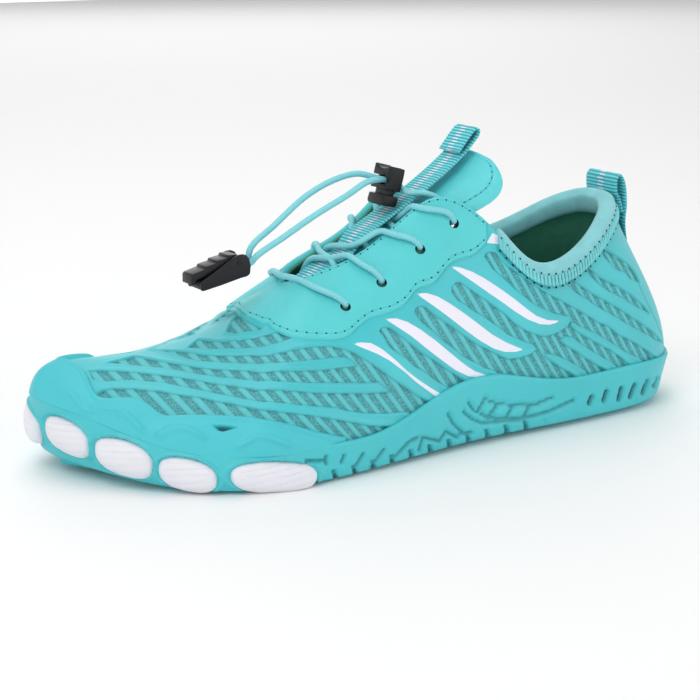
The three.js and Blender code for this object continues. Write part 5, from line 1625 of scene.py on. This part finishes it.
            poles = spot + np.array([[0, 0, -tall * self.droop], [0, 0, tall]]) - out * np.array([[1.6], [0]])
            poles[:, 2] = np.maximum(poles[:, 2], 0)
            points = np.vstack([body, poles])
            k = len(body)
            faces = grid_faces(up - 1, around, False, True).tolist()
            for j in range(around):
                q = (j + 1) % around
                faces.append([q, j, k][::-1])
                base = (up - 2) * around
                faces.append([base + j, base + q, k + 1][::-1])
            # Groove depth value, which the pod finish uses to paint shade in the grooves.
            deep = np.concatenate([groove.ravel() * 0.55, [0, 0]])
            self.shop.add(f"pod_{i + 1}", points, faces, Finish.POD, "pod", {"deep": deep},
                          stands_for=(f"toe_pod_{i + 1}",))

    def insole(self) -> None:
        """Knit-covered insole with a raised edge."""
        rows = paired_rows(200)
        inset = RIM_INSET + UPPER_WALL + 1.4
        low = self.last.rim(rows) * 0.97 + FIT_GAP + 0.15
        levels = ((0.0, 0.0), (0.0, 0.7), (0.15, 0.95), (0.6, 1.05), (1.6, 1.0), (3.0, 0.93))
        rings = np.stack([self.last.outline(rows, inset + i + 0 * rows, low + INSOLE_THICKNESS * s)[0]
                          for i, s in levels], 1)
        k = rings.shape[1]
        keep = self.columns
        self.columns = 200
        points = rings.reshape(-1, 3)
        bottom, low_faces, _ = self.across(rows, rings[:, 0], 0, k, 16, len(points), False)
        low_faces = low_faces[:, ::-1]
        top, top_faces, _ = self.across(rows, rings[:, -1], k - 1, k, 16, len(points) + len(bottom), False)
        self.columns = keep
        faces = np.vstack([grid_faces(len(rows), k, True), low_faces, top_faces])
        points = np.vstack([points, bottom, top])
        self.shop.add("insole_sheet", points, faces[:, ::-1], Finish.INSOLE, "insole", stands_for=("insole",))

    def build(self) -> None:
        """Builds the outsole, the pods and the insole."""
        self.outsole()
        self.pods()
        self.insole()


@dataclass
class Tongue(SubAssembly):
    """Tongue: padded sheet, leather top, mesh sides and the webbing along it."""

    def __post_init__(self) -> None:
        """Makes the curves of the tongue's middle."""
        along, rise, half = zip(*TONGUE)
        self.along = curve(np.array(along) * LENGTH, False)
        self.rise = curve(np.array(rise) * INSTEP_HEIGHT, False)
        self.half = curve(np.array(half) * BALL_WIDTH, False)
        self.end = float(len(TONGUE) - 1)
        self.rest = FIT_GAP + WEB_THICKNESS / 2
        self.raised = FIT_GAP * 2 + 2 * LACE_RADIUS + WEB_THICKNESS / 2 + 0.05

    def run(self, t: Array) -> Array:
        """Direction up along the tongue."""
        a, b = np.maximum(t - 0.05, 0), np.minimum(t + 0.05, self.end)
        return unit(at(self.along(b), 0, self.rise(b)) - at(self.along(a), 0, self.rise(a)))

    def face(self, t: Array) -> Array:
        """Direction out of the tongue's face."""
        run = self.run(t)
        return np.stack([-run[..., 2], 0 * run[..., 0], run[..., 0]], -1)

    def point(self, t: Array, across: Array, lift: Array) -> Array:
        """Point over the arched face."""
        t, across, lift = np.broadcast_arrays(np.asarray(t, float), across, lift)
        drop = TONGUE_DROP * (across / TONGUE_DROP_AT) ** 2
        return at(self.along(t), across, self.rise(t)) + self.face(t) * (lift - drop)[..., None]

    def crown(self, t: Array, across: float, lift: float) -> Array:
        """Point over the tongue's middle line, moved straight across."""
        return self.point(t, 0.0, lift) + np.array([0, across, 0])

    def station(self, along: float) -> float:
        """Station nearest to a distance ahead of the heel."""
        t = np.linspace(0, self.end, 401)
        return float(t[np.argmin(np.abs(self.along(t) - along))])

    def sheet(self) -> None:
        """Tongue's body with its padded edge and mesh blocks."""
        n, m = 210, 74
        t = np.linspace(0, self.end, n)
        s = np.linspace(-1, 1, m)
        tt, ss = np.meshgrid(t, s, indexing="ij")
        width = self.half(tt)
        corner = np.sqrt(np.clip(1 - np.clip((tt - self.end + 0.75) / 0.78, 0, 1) ** 2, 0, 1)) * 0.28 + 0.72
        across = ss * width * corner
        edge = (1 - np.abs(ss)) * width
        edge = np.minimum(edge, (self.end - tt) * 9 + 0.25)
        round_off = np.sqrt(np.clip(1 - (1 - np.clip(edge / 1.6, 0, 1)) ** 2, 0, 1))
        down = (tt > 5.6)
        piping = 0.35 * np.exp(-((edge - 1.5) / 0.7) ** 2) * down
        valley = -0.28 * np.exp(-((edge - 2.9) / 0.4) ** 2) * down
        distance = np.interp(tt, t, np.concatenate([[0], np.cumsum(np.linalg.norm(
            np.diff(self.point(t, 0.0, 0.0), axis=0), axis=1))]))
        block = np.abs(np.mod(distance / 5.0, 1) - 0.5) * 2
        mesh = smooth_step(np.abs(across), 6.0, 7.0) * (1 - smooth_step(tt, 5.0, 5.4))
        relief = mesh * (smooth_step(block, 0.08, 0.35) * 0.7 - 0.7)
        pillow = 0.35 * np.sin(np.clip(edge / 12, 0, 1) * math.pi) * down
        face = (round_off - 1) * 1.1 + piping + valley + relief + pillow
        top = self.point(tt, across, np.minimum(face, 0.28)).reshape(-1, 3)
        back = self.point(tt, across, -TONGUE_THICKNESS - (round_off - 1) * 1.1).reshape(-1, 3)
        points, faces = closed_sheet(top, back, grid_faces(n, m))
        self.shop.add("tongue_sheet", points, faces, Finish.TONGUE, "tongue", stands_for=("tongue",))
        piece = bpy.data.objects["tongue_sheet"]
        cloth = Finish.TONGUE_MESH
        if cloth not in self.shop.materials:
            self.shop.materials[cloth] = cloth.value.material()
        piece.data.materials.append(self.shop.materials[cloth])
        centres = points[faces].mean(1)
        along = HEEL_CENTRE - centres[:, 0]
        limit = self.along(5.2)
        chosen = ((np.abs(centres[:, 1]) > 6.2) & (along > limit)).astype(np.int32)
        piece.data.polygons.foreach_set("material_index", chosen)

    def seams(self) -> None:
        """Border seam and cross seam of the leather top."""
        t = np.concatenate([np.linspace(5.3, self.end - 0.22, 60)])
        hole_shades, threads = [], []
        for side in (1, -1):
            corner = np.sqrt(np.clip(1 - np.clip((t - self.end + 0.75) / 0.78, 0, 1) ** 2, 0, 1)) * 0.28 + 0.72
            line = self.point(t, side * (self.half(t) * corner - 3.2), np.full_like(t, 0.12))
            a, b = stitches(line, self.face(t), 2.6)
            hole_shades += a
            threads += b
        across = np.linspace(-1, 1, 40)
        t = np.full_like(across, self.end - 0.2)
        line = self.point(t, across * (self.half(t[0]) * 0.8), np.full_like(t, 0.1))
        a, b = stitches(line, self.face(t), 2.6)
        for name, forms, finish in (("tongue_needle_holes", hole_shades + a, Finish.HOLE_SHADE),
                                    ("tongue_stitches", threads + b, Finish.STITCH)):
            points, faces, values = merge(forms)
            self.shop.add(name, points, faces, finish, "tongue")

    def lift(self, t: float) -> float:
        """Lift of the webbing's middle above the tongue."""
        return self.rest + (self.raised - self.rest) * float(smooth_step(t, 2.93, 3.33))

    def webbing(self) -> None:
        """Webbing along the tongue, folded at its top end."""
        stops = (1.42, 1.9, 2.4, 2.9, 3.15, 3.4, 3.9, 4.4, 5, 5.6, 6.2, 6.8, 7.4, self.end)
        line = [self.point(t, 0.0, self.lift(t)) for t in stops]
        end = self.point(self.end, 0.0, self.raised)
        run, front = self.run(np.array(self.end)), self.face(np.array(self.end))
        for u, v in ((5.0, 0.3), (6.2, 1.2), (6.0, 2.4), (4.8, 3.0), (-6, 2.6)):
            line.append(end + run * u + front * v)
        points, faces, values = ribbon(np.array(line), TONGUE_WEB_WIDTH, WEB_THICKNESS)
        self.shop.add("tongue_webbing_strap", points, faces, Finish.WEBBING, "webbing", values,
                      stands_for=("tongue_webbing",))

    def build(self) -> None:
        """Builds the tongue and its webbing."""
        self.sheet()
        self.seams()
        self.webbing()


def ribbon(path: Array, width: float, thickness: float, pitch: float = 1.35,
           relief: float = 0.16, bow: float = 0.0) -> tuple[Array, Array, dict[str, Array]]:
    """Woven strap along a path that lies in the shoe's middle plane.

    Args:
        path: middle line.
        width: width across.
        thickness: thickness.
        pitch: length of one rib.
        relief: height of the ribs.
        bow: how far its edges bend round the heel at its start.

    Returns:
        Points, faces and the along and across values.
    """
    line = even_line(rounded_line(path, 400), pitch / 6)
    forward = unit(np.gradient(line, axis=0))
    side = np.array([0.0, 1.0, 0.0])
    up = unit(np.cross(forward, side))
    n = len(line)
    along = np.concatenate([[0], np.cumsum(np.linalg.norm(np.diff(line, axis=0), axis=1))])
    rib = np.sin(along / pitch * 2 * math.pi) * 0.5 + 0.5
    half = np.linspace(-1, 1, 19)
    section = [(x, 1.0) for x in half] + [(x, -1.0) for x in half[::-1]]
    x = np.array([s[0] for s in section])
    z = np.array([s[1] for s in section])
    edge = np.sqrt(np.clip(1 - np.clip((np.abs(x) - 0.93) / 0.07, 0, 1) ** 2, 0, 1)) * 0.7 + 0.3
    height = z[None] * (thickness / 2 * edge[None] - relief * (1 - rib[:, None]))
    across = x[None] * (width / 2) * (1 - 0.012 * (1 - rib[:, None]))
    height = height + (1 - smooth_step(along, 8, 20))[:, None] * bow * (2 * across / width) ** 2
    points = line[:, None] + side * across[..., None] + up[:, None] * height[..., None]
    k = len(section)
    faces = grid_faces(n, k, False, True).tolist()
    faces.append(list(range(k))[::-1])
    faces.append([(n - 1) * k + j for j in range(k)])
    faces = [face[::-1] for face in faces]
    values = {"along": np.repeat(along, k), "across": np.broadcast_to(across, (n, k)).ravel()}
    return points.reshape(-1, 3), faces, values


@dataclass
class Collar(SubAssembly):
    """Padded cuff, the overlock seam under it and the heel loop."""

    last_row: float = 4.95
    seam_width: float = 5.2
    seam_pitch: float = 1.8
    fold: tuple = ((4.7, -8.9), (4.4, -2.9), (3.7, 3.1), (2.5, 6.7), (0.7, 8.4), (-0.8, 7.1),
                   (-1.1, 4.1), (-0.7, 1.1))

    def section(self, row: Array) -> Array:
        """Outline of the cuff at rows."""
        r = np.abs(row)
        fade = np.minimum(1, 0.35 + (self.last_row - r) * 0.8)
        pad = UPPER_WALL + FIT_GAP + 0.3
        rise = unit(self.last.point(row, np.ones_like(row)) - self.last.point(row, np.full_like(row, 0.98)))
        leg = 0.93

        def edge(d: float, u: float, extra: Array | float = 0.0) -> Array:
            """Point beside the collar's edge."""
            return self.last.form(row, np.ones_like(row), d - extra * fade) + rise * u

        low = lambda d, extra=0.0: self.last.form(row, np.full_like(row, leg), d - extra * fade)
        return np.stack([low(0.5), low(1.5), edge(1.95, 0.0), edge(1.3, 2.1), edge(-0.9, 3.3),
                         edge(-pad - 1.2, 2.2), edge(-pad, 0.0, 2.6), low(-pad, 2.4), low(-pad),
                         edge(-pad, 0.0), edge(-0.9, 0.5), edge(0.5, 0.0)], 1)

    def cuff(self) -> None:
        """Soft rolled cuff, as one closed form."""
        rows = np.linspace(-self.last_row, self.last_row, 320)
        weights = blend_matrix(12, 60)
        rings = np.einsum("sk,nkc->nsc", weights, self.section(rows))
        middle = rings.mean(1, keepdims=True)
        ends = np.minimum(rows - rows[0], rows[-1] - rows)
        size = np.sqrt(np.clip(1 - (1 - np.clip(ends / 0.12, 0, 1)) ** 2, 0.02, 1))
        rings = middle + (rings - middle) * size[:, None, None]
        k = rings.shape[1]
        n = len(rows)
        faces = grid_faces(n, k, False, True).tolist()
        faces.append(list(range(k))[::-1])
        faces.append([(n - 1) * k + j for j in range(k)])
        piece = self.shop.add("cuff_roll", rings.reshape(-1, 3), faces, Finish.CUFF, "cuff",
                              stands_for=("collar_cuff",))

    def seam(self) -> None:
        """Overlock seam: slanted threads over the cuff's lower edge, with spots of painted shade where the needle
        went in.
        """
        rows = np.linspace(-self.last_row, self.last_row, 800)
        centre = self.last.form(rows, np.full_like(rows, 0.93), np.full_like(rows, 1.0))
        data = np.hstack([centre, rows[:, None]])
        spots = even_line(data, self.seam_pitch / 2)[:, 3]
        tall = self.tall(spots)
        middle = 1 - 4.2 / tall
        threads, hole_shades = [], []
        for i, row in enumerate(spots[1:-1]):
            j = i + 1
            h = middle[j]
            low = self.last.form(row, h - self.seam_width / 2 / tall[j], 1.55)
            high = self.last.form(row + (0.03 if i % 2 else -0.03), h + self.seam_width / 2 / tall[j], 2.0)
            run = unit(high - low)
            up = self.last.normal(row, h)
            up = unit(up - run * (up @ run))
            side = np.cross(up, run)
            mid = (low + high) / 2 + up * 0.22
            threads.append(pebble(mid, (run, side, up), (np.linalg.norm(high - low) / 2, 0.6, 0.5), 10, 6))
            if i % 4 == 0:
                # Near-black pebbles at the thread ends: painted shade of the needle hole.
                hole_shades.append(pebble(low - run * 0.4, (run, side, up), (0.5, 0.5, 0.35), 8, 4))
                hole_shades.append(pebble(high + run * 0.3, (run, side, up), (0.45, 0.4, 0.3), 8, 4))
        for name, forms, finish in (("overlock_threads", threads, Finish.THREAD),
                                    ("overlock_needle_holes", hole_shades, Finish.HOLE_SHADE)):
            points, faces, values = merge(forms)
            self.shop.add(name, points, faces, finish, "cuff")

    def loop(self) -> None:
        """Heel loop of webbing."""
        gap = 1.9 + FIT_GAP + WEB_THICKNESS / 2
        low = [self.last.form(0.0, h, gap + d) for h, d in ((0.7, -2.7), (0.74, -2.0), (0.79, -0.6))]
        top = self.last.form(0.0, 1.0, gap)
        high = [top + np.array([back, 0.0, up]) for back, up in self.fold]
        high += [self.last.form(0.0, 0.985, gap + 0.25), self.last.form(0.0, 0.9, gap)]
        points, faces, values = ribbon(np.array(low + high), HEEL_WEB_WIDTH, WEB_THICKNESS, bow=2.0)
        self.shop.add("heel_loop_strap", points, faces, Finish.WEBBING, "webbing", values,
                      stands_for=("heel_loop",))

    def build(self) -> None:
        """Builds the cuff, its seam and the loop."""
        self.cuff()
        self.seam()
        self.loop()


@dataclass
class Lacing(SubAssembly):
    """Laces, the cord lock, the two free strands and the end clip."""

    tongue: Tongue = None
    lock_at: tuple = (132.5, -1.0, 98.4, 0.26)
    clip_at: tuple = (199.5, 0.0, 74.0, -0.1)
    easing: int = 110
    pull: float = 0.012

    def __post_init__(self) -> None:
        """Works out the laces' heights."""
        self.on_stay = FIT_GAP * 2 + STAY_THICKNESS + LACE_RADIUS + 0.15
        self.on_web = FIT_GAP * 2 + WEB_THICKNESS + LACE_RADIUS + 0.15
        self.on_tongue = FIT_GAP + LACE_RADIUS + 0.1

    def frame(self, place: tuple, x: float, y: float, z: float) -> Array:
        """Point in the frame of the lock or the clip."""
        along, across, height, lean = place
        return at(along, across, height) + np.array(
            [x * math.cos(lean) + z * math.sin(lean), y, -x * math.sin(lean) + z * math.cos(lean)])

    def in_lock(self, x: float, y: float, z: float) -> Array:
        """Point in the lock's frame."""
        return self.frame(self.lock_at, x, y, z)

    def in_clip(self, x: float, y: float, z: float) -> Array:
        """Point in the clip's frame."""
        return self.frame(self.clip_at, x, y, z)

    def from_eyelet(self, index: int, side: int, edge_row: float) -> list[Array]:
        """Lace from inside its eyelet to the throat's edge."""
        row, height = EYELETS[index]
        form = lambda r, h, d: self.last.form(np.array(side * r), np.array(h), np.array(d))
        past = form(edge_row, 1.0, self.on_stay + 0.75)
        past[1] += side * 2.0
        inside = height + self.pull
        return [form(row, inside, -0.6), form(row, inside, 1.6),
                form(row + (edge_row - row) * 0.1, height + 0.045, self.on_stay + 0.25),
                form((row + edge_row) / 2, (height + 0.97) / 2, self.on_stay + 0.1),
                form(edge_row, 0.97, self.on_stay + 0.2), past]

    def lace(self, path: Sequence[Array]) -> tuple:
        """Lace along a path, with its bends eased but for its two ends."""
        line = even_line(rounded_line(path, 200), 0.5)
        free = np.minimum(np.arange(len(line)), np.arange(len(line))[::-1]) * 0.5
        ease = smooth_step(free, 1.5, 5.0)[:, None]
        for _ in range(self.easing):
            line[1:-1] += (0.5 * (line[:-2] + line[2:]) - line[1:-1]) * ease[1:-1] * 0.5
        return tube_mesh(even_line(line, 0.5), LACE_RADIUS, 16)

    def crossing(self, index: int, side: int, edge_row: float, middle: float, end: float,
                 over_web: bool) -> tuple:
        """Lace from an eyelet over the tongue and under the other side's edge."""
        a, b = self.tongue.station(middle), self.tongue.station(end)
        lift = self.on_web if over_web else self.on_tongue
        half = TONGUE_WEB_WIDTH / 2 + 0.6 if over_web else TONGUE_WEB_WIDTH * 0.45
        place = self.tongue.crown if over_web else self.tongue.point
        path = self.from_eyelet(index, side, edge_row)
        path.append(place(a, -side * half, lift + (0.1 if over_web else 0.3)))
        path.append(place((a * 3 + b) / 4, 0.0, lift + 0.15))
        path.append(place((a + b) / 2, side * half, lift))
        path.append(self.tongue.point(b, side * 9.6, self.on_tongue))
        path.append(self.tongue.point(b, side * (11.9 if over_web else 12.5), self.on_tongue))
        return self.lace(path)

    def laces(self) -> None:
        """The laces through the eyelets and into the lock."""
        rise = float(self.last.ridge[2](0.0))
        bar = self.from_eyelet(0, 1, 8.6)[:5] + [at(180.5, 0.0, rise + self.on_stay + 0.8)]
        bar += self.from_eyelet(0, -1, 8.6)[:5][::-1]
        sets = {
            "lace_bar": [self.lace(bar)],
            "lace_cross_front": [self.crossing(1, 1, 7.55, 158, 164, True),
                                 self.crossing(1, -1, 7.5, 157, 161, True)],
            "lace_near_middle": [self.crossing(2, 1, 6.95, 150, 157, True)],
            "lace_far_middle": [self.crossing(2, -1, 6.85, 144, 146, False)],
            "lace_cross_top": [self.crossing(3, 1, 6.4, 130, 136, False),
                               self.crossing(3, -1, 6.35, 132, 134, False)],
        }
        for name, side in (("near", 1), ("far", -1)):
            t = self.tongue.station(115.5)
            half = LACE_RADIUS + 0.15
            path = [self.tongue.point(t, -side * 15.4, self.on_tongue + 0.1),
                    self.tongue.point(t, -side * 13.2, self.on_tongue + 0.6),
                    self.tongue.crown(self.tongue.station(118), -side * 10.4, self.tongue.raised + 1.2),
                    self.tongue.crown(self.tongue.station(121), -side * 7.6, self.tongue.raised + 2.6),
                    self.tongue.crown(self.tongue.station(124.5), -side * 4.8, self.tongue.raised + 3.9),
                    self.in_lock(6.5, -side * 2.6, -0.9), self.in_lock(3.0, -side * half, 0),
                    self.in_lock(0.6, -side * half, 0)]
            sets[f"lace_lead_{name}"] = [self.lace(path)]
        for name, forms in sets.items():
            points, faces, values = merge(forms)
            self.shop.add(f"{name}_braid", points, faces, Finish.BRAID, "lace", values, stands_for=(name,))
        rings = []
        for row, height in EYELETS:
            for side in (1, -1):
                a = np.array(side * row)
                centre = self.last.form(a, np.array(height), np.array(0.3))
                normal = self.last.normal(a, np.array(height))
                first = unit(np.cross(normal, [0, 0, 1]))
                second = np.cross(normal, first)
                turns = np.arange(28) * 2 * math.pi / 28
                circle = first * np.cos(turns)[:, None] + second * np.sin(turns)[:, None]
                walls = [centre + normal * d + circle * s for d, s in
                         ((-2.0, 1.98), (1.15, 1.98), (1.15, 1.8), (-1.9, 1.8))]
                ring = np.stack(walls, 1)
                rings.append((ring.reshape(-1, 3), grid_faces(28, 4, True, True)[:, ::-1], {}))
        points, faces, values = merge(rings)
        self.shop.add("eyelet_walls", points, faces, Finish.EYELET, "hard_plastic")

    def strands(self, fittings: Sequence[bpy.types.Object]) -> None:
        """The two free strands from the lock to the clip.

        Args:
            fittings: the clip's pieces; not used.
        """
        half = LACE_RADIUS + 0.15
        near = [self.in_lock(-0.6, -half, 0), self.in_lock(-3.4, -half, 0), at(143, -3.2, 98.9),
                at(152, -3.4, 94.6), at(166, -3.2, 88.2), at(179, -2.7, 81.2), at(190, -2, 75.2),
                self.in_clip(6.4, -half, -2.2), self.in_clip(3.0, -half, -2.4)]
        far = [self.in_lock(-0.6, half, 0), self.in_lock(-3.4, half, 0), at(143.5, 2.6, 101.4),
               at(153, 3.6, 99.8), at(166, 3.6, 94.4), at(180, 2.9, 84.8), at(190.5, 2, 77.6),
               self.in_clip(6.4, half, -2.2), self.in_clip(3.0, half, -2.4)]
        for name, path, exit_side in (("cord_near", near, -half), ("cord_far", far, half)):
            line = even_line(rounded_line(path, 300), 0.5)
            points, faces, values = tube_mesh(line, LACE_RADIUS, 18)
            piece = self.shop.add(f"{name}_braid", points, faces, Finish.BRAID, "lace", values,
                                  stands_for=(name,))
            length = float(np.linalg.norm(np.diff(line, axis=0), axis=1).sum())
            log.info("%s: %.1f mm long", name, length)
            mouth = self.in_lock(-0.6, exit_side, 0) * MM
            list(fittings)
            [tuple(p) for p in even_line(line, 3.0) * MM]


@dataclass
class Hardware:
    """Bevelled plastic forms of the lock and the clip."""

    lacing: Lacing
    shop: Workshop
    bevel: float = 0.55

    def plate(self, name: str, outline: Sequence[tuple[float, float]], low: float, high: float,
              place: Callable, body: str, stands_for: Sequence[str] = (), bevel: float | None = None) -> None:
        """Plate from its side outline, with rounded edges."""
        ring = np.array(outline, float)
        area = (ring[:, 0] * np.roll(ring[:, 1], -1) - np.roll(ring[:, 0], -1) * ring[:, 1]).sum()
        if area < 0:
            ring = ring[::-1]
        n = len(ring)
        points = np.array([place(x, y, z) for y in (low, high) for x, z in ring])
        faces = [list(range(n)), list(range(2 * n - 1, n - 1, -1))]
        for i in range(n):
            j = (i + 1) % n
            faces.append([j, i, i + n, j + n])
        piece = self.shop.add(name, points, faces, Finish.BLACK, "hard_plastic", body=body,
                              stands_for=stands_for, sharp=50)
        self.round_off(piece, bevel or self.bevel)

    def round_off(self, piece: bpy.types.Object, width: float) -> None:
        """Rounds the sharp edges."""
        form = bmesh.new()
        form.from_mesh(piece.data)
        bmesh.ops.recalc_face_normals(form, faces=form.faces)
        edges = [e for e in form.edges if len(e.link_faces) == 2 and e.calc_face_angle(0) > math.radians(25)]
        bmesh.ops.bevel(form, geom=edges, offset=width * MM, segments=3, profile=0.5, affect="EDGES",
                        clamp_overlap=True)
        form.to_mesh(piece.data)
        form.free()
        piece.data.polygons.foreach_set("use_smooth", np.ones(len(piece.data.polygons), bool))
        piece.data.set_sharp_from_angle(angle=math.radians(40))

    def lock(self) -> None:
        """Lock body with its cord mouth, and the button under it."""
        place = self.lacing.in_lock
        def face(y: float, x: float, z: float) -> Array:
            """Point for outlines that are drawn on the lock's front."""
            return place(x, y, z)

        saddle = [(-5.5, 1.6), (5.5, 1.6), (5.5, 5.9), (4.4, 5.9), (3.2, 5.2), (1.8, 4.6), (0, 4.45),
                  (-1.8, 4.6), (-3.2, 5.0), (-4.4, 5.4), (-5.5, 5.6)]
        near = [(3.5, -3.4), (3.5, 4.2), (2.9, 5.2), (1.6, 5.6), (-3.3, 5.6), (-3.5, 1.5), (-2.6, 0.8),
                (-2.4, -0.8), (-3.3, -1.6), (-3.4, -3.4)]
        low = [(3.5, -1.6), (-3.3, -1.6), (-3.4, -3.4), (3.5, -3.4)]
        front = [(-1.95, -1.6), (-3.3, -1.6), (-3.4, -3.4), (-1.95, -3.4)]
        rear = [(3.5, -1.6), (1.95, -1.6), (1.95, -3.4), (3.5, -3.4)]
        cheek = [(3.5, -3.4), (3.5, 4.4), (-1.0, 4.4), (-1.0, -3.4)]
        self.plate("lock_crown", saddle, -3.5, 3.5, face, "shoe", ("lock_body",), 0.7)
        self.plate("lock_cheek_near", near, -5.55, -3.0, place, "shoe", bevel=0.4)
        self.plate("lock_cheek_far", cheek, 3.0, 5.45, place, "shoe", bevel=0.4)
        self.plate("lock_base_far", low, 4.5, 5.5, place, "shoe", bevel=0.3)
        self.plate("lock_base_front", front, -4.6, 4.6, place, "shoe", bevel=0.2)
        self.plate("lock_base_rear", rear, -4.6, 4.6, place, "shoe", bevel=0.2)
        button = [(3.3, -5.5), (3.3, -8.4), (2.6, -9.5), (-2.6, -9.7), (-3.5, -9.2), (-3.7, -8.2), (-3.5, -5.5)]
        self.plate("lock_push", button, -5.4, 5.4, place, "button", ("lock_button",), 0.7)
        stem = [(1.6, -6.0), (1.6, -3.0), (-1.6, -3.0), (-1.6, -6.0)]
        self.plate("lock_stem", stem, -4.1, 4.1, place, "button", bevel=0.2)

    def pin(self, name: str, y: float, radius: float, length: float, body: str) -> None:
        """Domed pin head on a cheek, or the lever's barrel."""
        turns = np.arange(24) * 2 * math.pi / 24
        rings = []
        for share, size in ((0.0, 0.7), (0.08, 0.93), (0.2, 1.0), (0.8, 1.0), (0.92, 0.93), (1.0, 0.7)):
            rings.append([self.lacing.in_clip(math.cos(a) * radius * size, y + length * (share - 0.5),
                                              math.sin(a) * radius * size) for a in turns])
        faces = grid_faces(6, 24, False, True).tolist()
        faces += [list(range(24))[::-1], list(range(120, 144))]
        self.shop.add(name, np.array(rings).reshape(-1, 3), faces, Finish.BLACK, "hard_plastic", body=body,
                      sharp=50)

    def clip(self) -> None:
        """Clip with two cheeks, a floor and the stepped lever."""
        place = self.lacing.in_clip
        end = -16.5
        cheek = [(4.0, -5.2), (4.6, -2.4), (4.3, 0.4), (3.5, 1.8), (2.2, 2.6), (0.4, 2.7), (-1.8, 2.2),
                 (-10, -1.6), (end, -4.3), (end - 0.1, -7.2), (end + 0.7, -7.7), (-8, -7.0), (0, -6.0),
                 (2.6, -5.9)]
        floor = [(4, -5.2), (3.8, -4.1), (-0.5, -4.2), (end + 0.4, -5.9), (end + 0.4, -7.4), (0, -5.8)]
        self.plate("clip_cheek_near", cheek, -5.5, -4.0, place, "shoe", ("clip_body",), 0.45)
        self.plate("clip_cheek_far", cheek, 4.0, 5.5, place, "shoe", bevel=0.45)
        self.plate("clip_floor", floor, -4.1, 4.1, place, "shoe", bevel=0.2)
        self.pin("clip_pin_near", -5.55, 1.0, 0.5, "shoe")
        self.pin("clip_pin_far", 5.55, 1.0, 0.5, "shoe")
        lever = [(1.9, -0.4), (1.7, 1.4), (1.0, 2.3), (0, 2.7), (-3.4, 3.0), (-3.8, 2.1), (-4.5, 2.1),
                 (-8.1, 1.9), (-8.5, 1.0), (-9.2, 1.0), (-12.8, 0.6), (-13.2, -0.3), (-13.9, -0.3),
                 (-18.6, -1.1), (-19.2, -1.8), (-19.5, -4.9), (-17.9, -5.2), (-17.3, -3.7), (-6, -1.6),
                 (0, -0.9)]
        self.plate("clip_lever_grip", lever, -3.7, 3.7, place, "lever", ("clip_lever",), 0.3)
        self.pin("clip_lever_barrel", 0.0, 2.1, 7.4, "lever")

    def build(self) -> None:
        """Builds the lock and the clip."""
        self.lock()
        self.clip()


@dataclass
class Studio:
    """Floor, lights and background."""

    floor_size: float = 5.0
    tone: tuple = (0.96, 0.96, 0.96)
    sky: tuple = (0.22, 0.5, 1.1, 0.42)

    def floor(self) -> None:
        """Pale floor."""
        n = 9
        grid = np.linspace(-self.floor_size / 2, self.floor_size / 2, n)
        x, y = np.meshgrid(grid, grid, indexing="ij")
        points = np.stack([x, y, 0 * x - 0.0001], -1).reshape(-1, 3)
        mesh = bpy.data.meshes.new("floor")
        mesh.from_pydata(points.tolist(), [], grid_faces(n, n)[:, ::-1].tolist())
        piece = bpy.data.objects.new("floor", mesh)
        bpy.context.scene.collection.objects.link(piece)
        g = Graph("floor")
        speck = g.noise(40, 2.0)
        colour = g.blend(speck, self.tone, tuple(c * 0.985 for c in self.tone))
        mesh.materials.append(g.finish(Base_Color=colour, Roughness=0.7))

    def lamp(self, name: str, spot: tuple, aim: tuple, size: float, power: float) -> None:
        """Square soft light."""
        data = bpy.data.lights.new(name, "AREA")
        data.size = size
        data.energy = power
        lamp = bpy.data.objects.new(name, data)
        bpy.context.scene.collection.objects.link(lamp)
        lamp.location = spot
        lamp.rotation_euler = (Vector(aim) - Vector(spot)).to_track_quat("-Z", "Y").to_euler()

    def build(self) -> None:
        """Builds the floor, the lamps and the sky."""
        self.floor()
        aim = (-0.1, 0.0, 0.04)
        self.lamp("key", (-0.9, -0.5, 1.1), aim, 0.8, 6.5)
        self.lamp("fill", (0.7, -1.1, 0.5), aim, 1.0, 2.5)
        self.lamp("top", (-0.1, 0.3, 1.3), aim, 1.0, 4.5)
        self.lamp("back", (0.75, 1.9, 1.15), aim, 1.7, 10.5)
        world = bpy.data.worlds.new("soft_sky")
        world.use_nodes = True
        shade = world.node_tree.nodes["Background"]
        shade.inputs[0].default_value = (1, 1, 1, 1)
        tree = world.node_tree
        place = tree.nodes.new("ShaderNodeTexCoord")
        split = tree.nodes.new("ShaderNodeSeparateXYZ")
        fall = tree.nodes.new("ShaderNodeMapRange")
        for socket, value in zip(("From Min", "From Max", "To Min", "To Max"), self.sky):
            fall.inputs[socket].default_value = value
        tree.links.new(place.outputs["Generated"], split.inputs[0])
        tree.links.new(split.outputs["Z"], fall.inputs["Value"])
        tree.links.new(fall.outputs["Result"], shade.inputs[1])
        bpy.context.scene.world = world
        bpy.context.scene.view_settings.view_transform = "Standard"


def main() -> None:
    """Dresses the shoe and sets it in its studio."""
    logging.basicConfig(level=logging.INFO, format="%(message)s")
    view = Viewpoint()
    view.create()
    last = Last()
    chart = Chart(last, view)
    shop = Workshop()
    tongue = Tongue(last, chart, shop)
    lacing = Lacing(last, chart, shop, tongue)
    Hardware(lacing, shop).build()
    lacing.strands([piece for piece in bpy.data.objects if piece.name.startswith("clip_") and
                    piece.name not in frame["nodes"]])
    Studio().build()
    Upper(last, chart, shop).build()
    Overlays(last, chart, shop).build()
    Sole(last, chart, shop).build()
    tongue.build()
    Collar(last, chart, shop).build()
    lacing.laces()


if __name__ == "__main__":
    main()
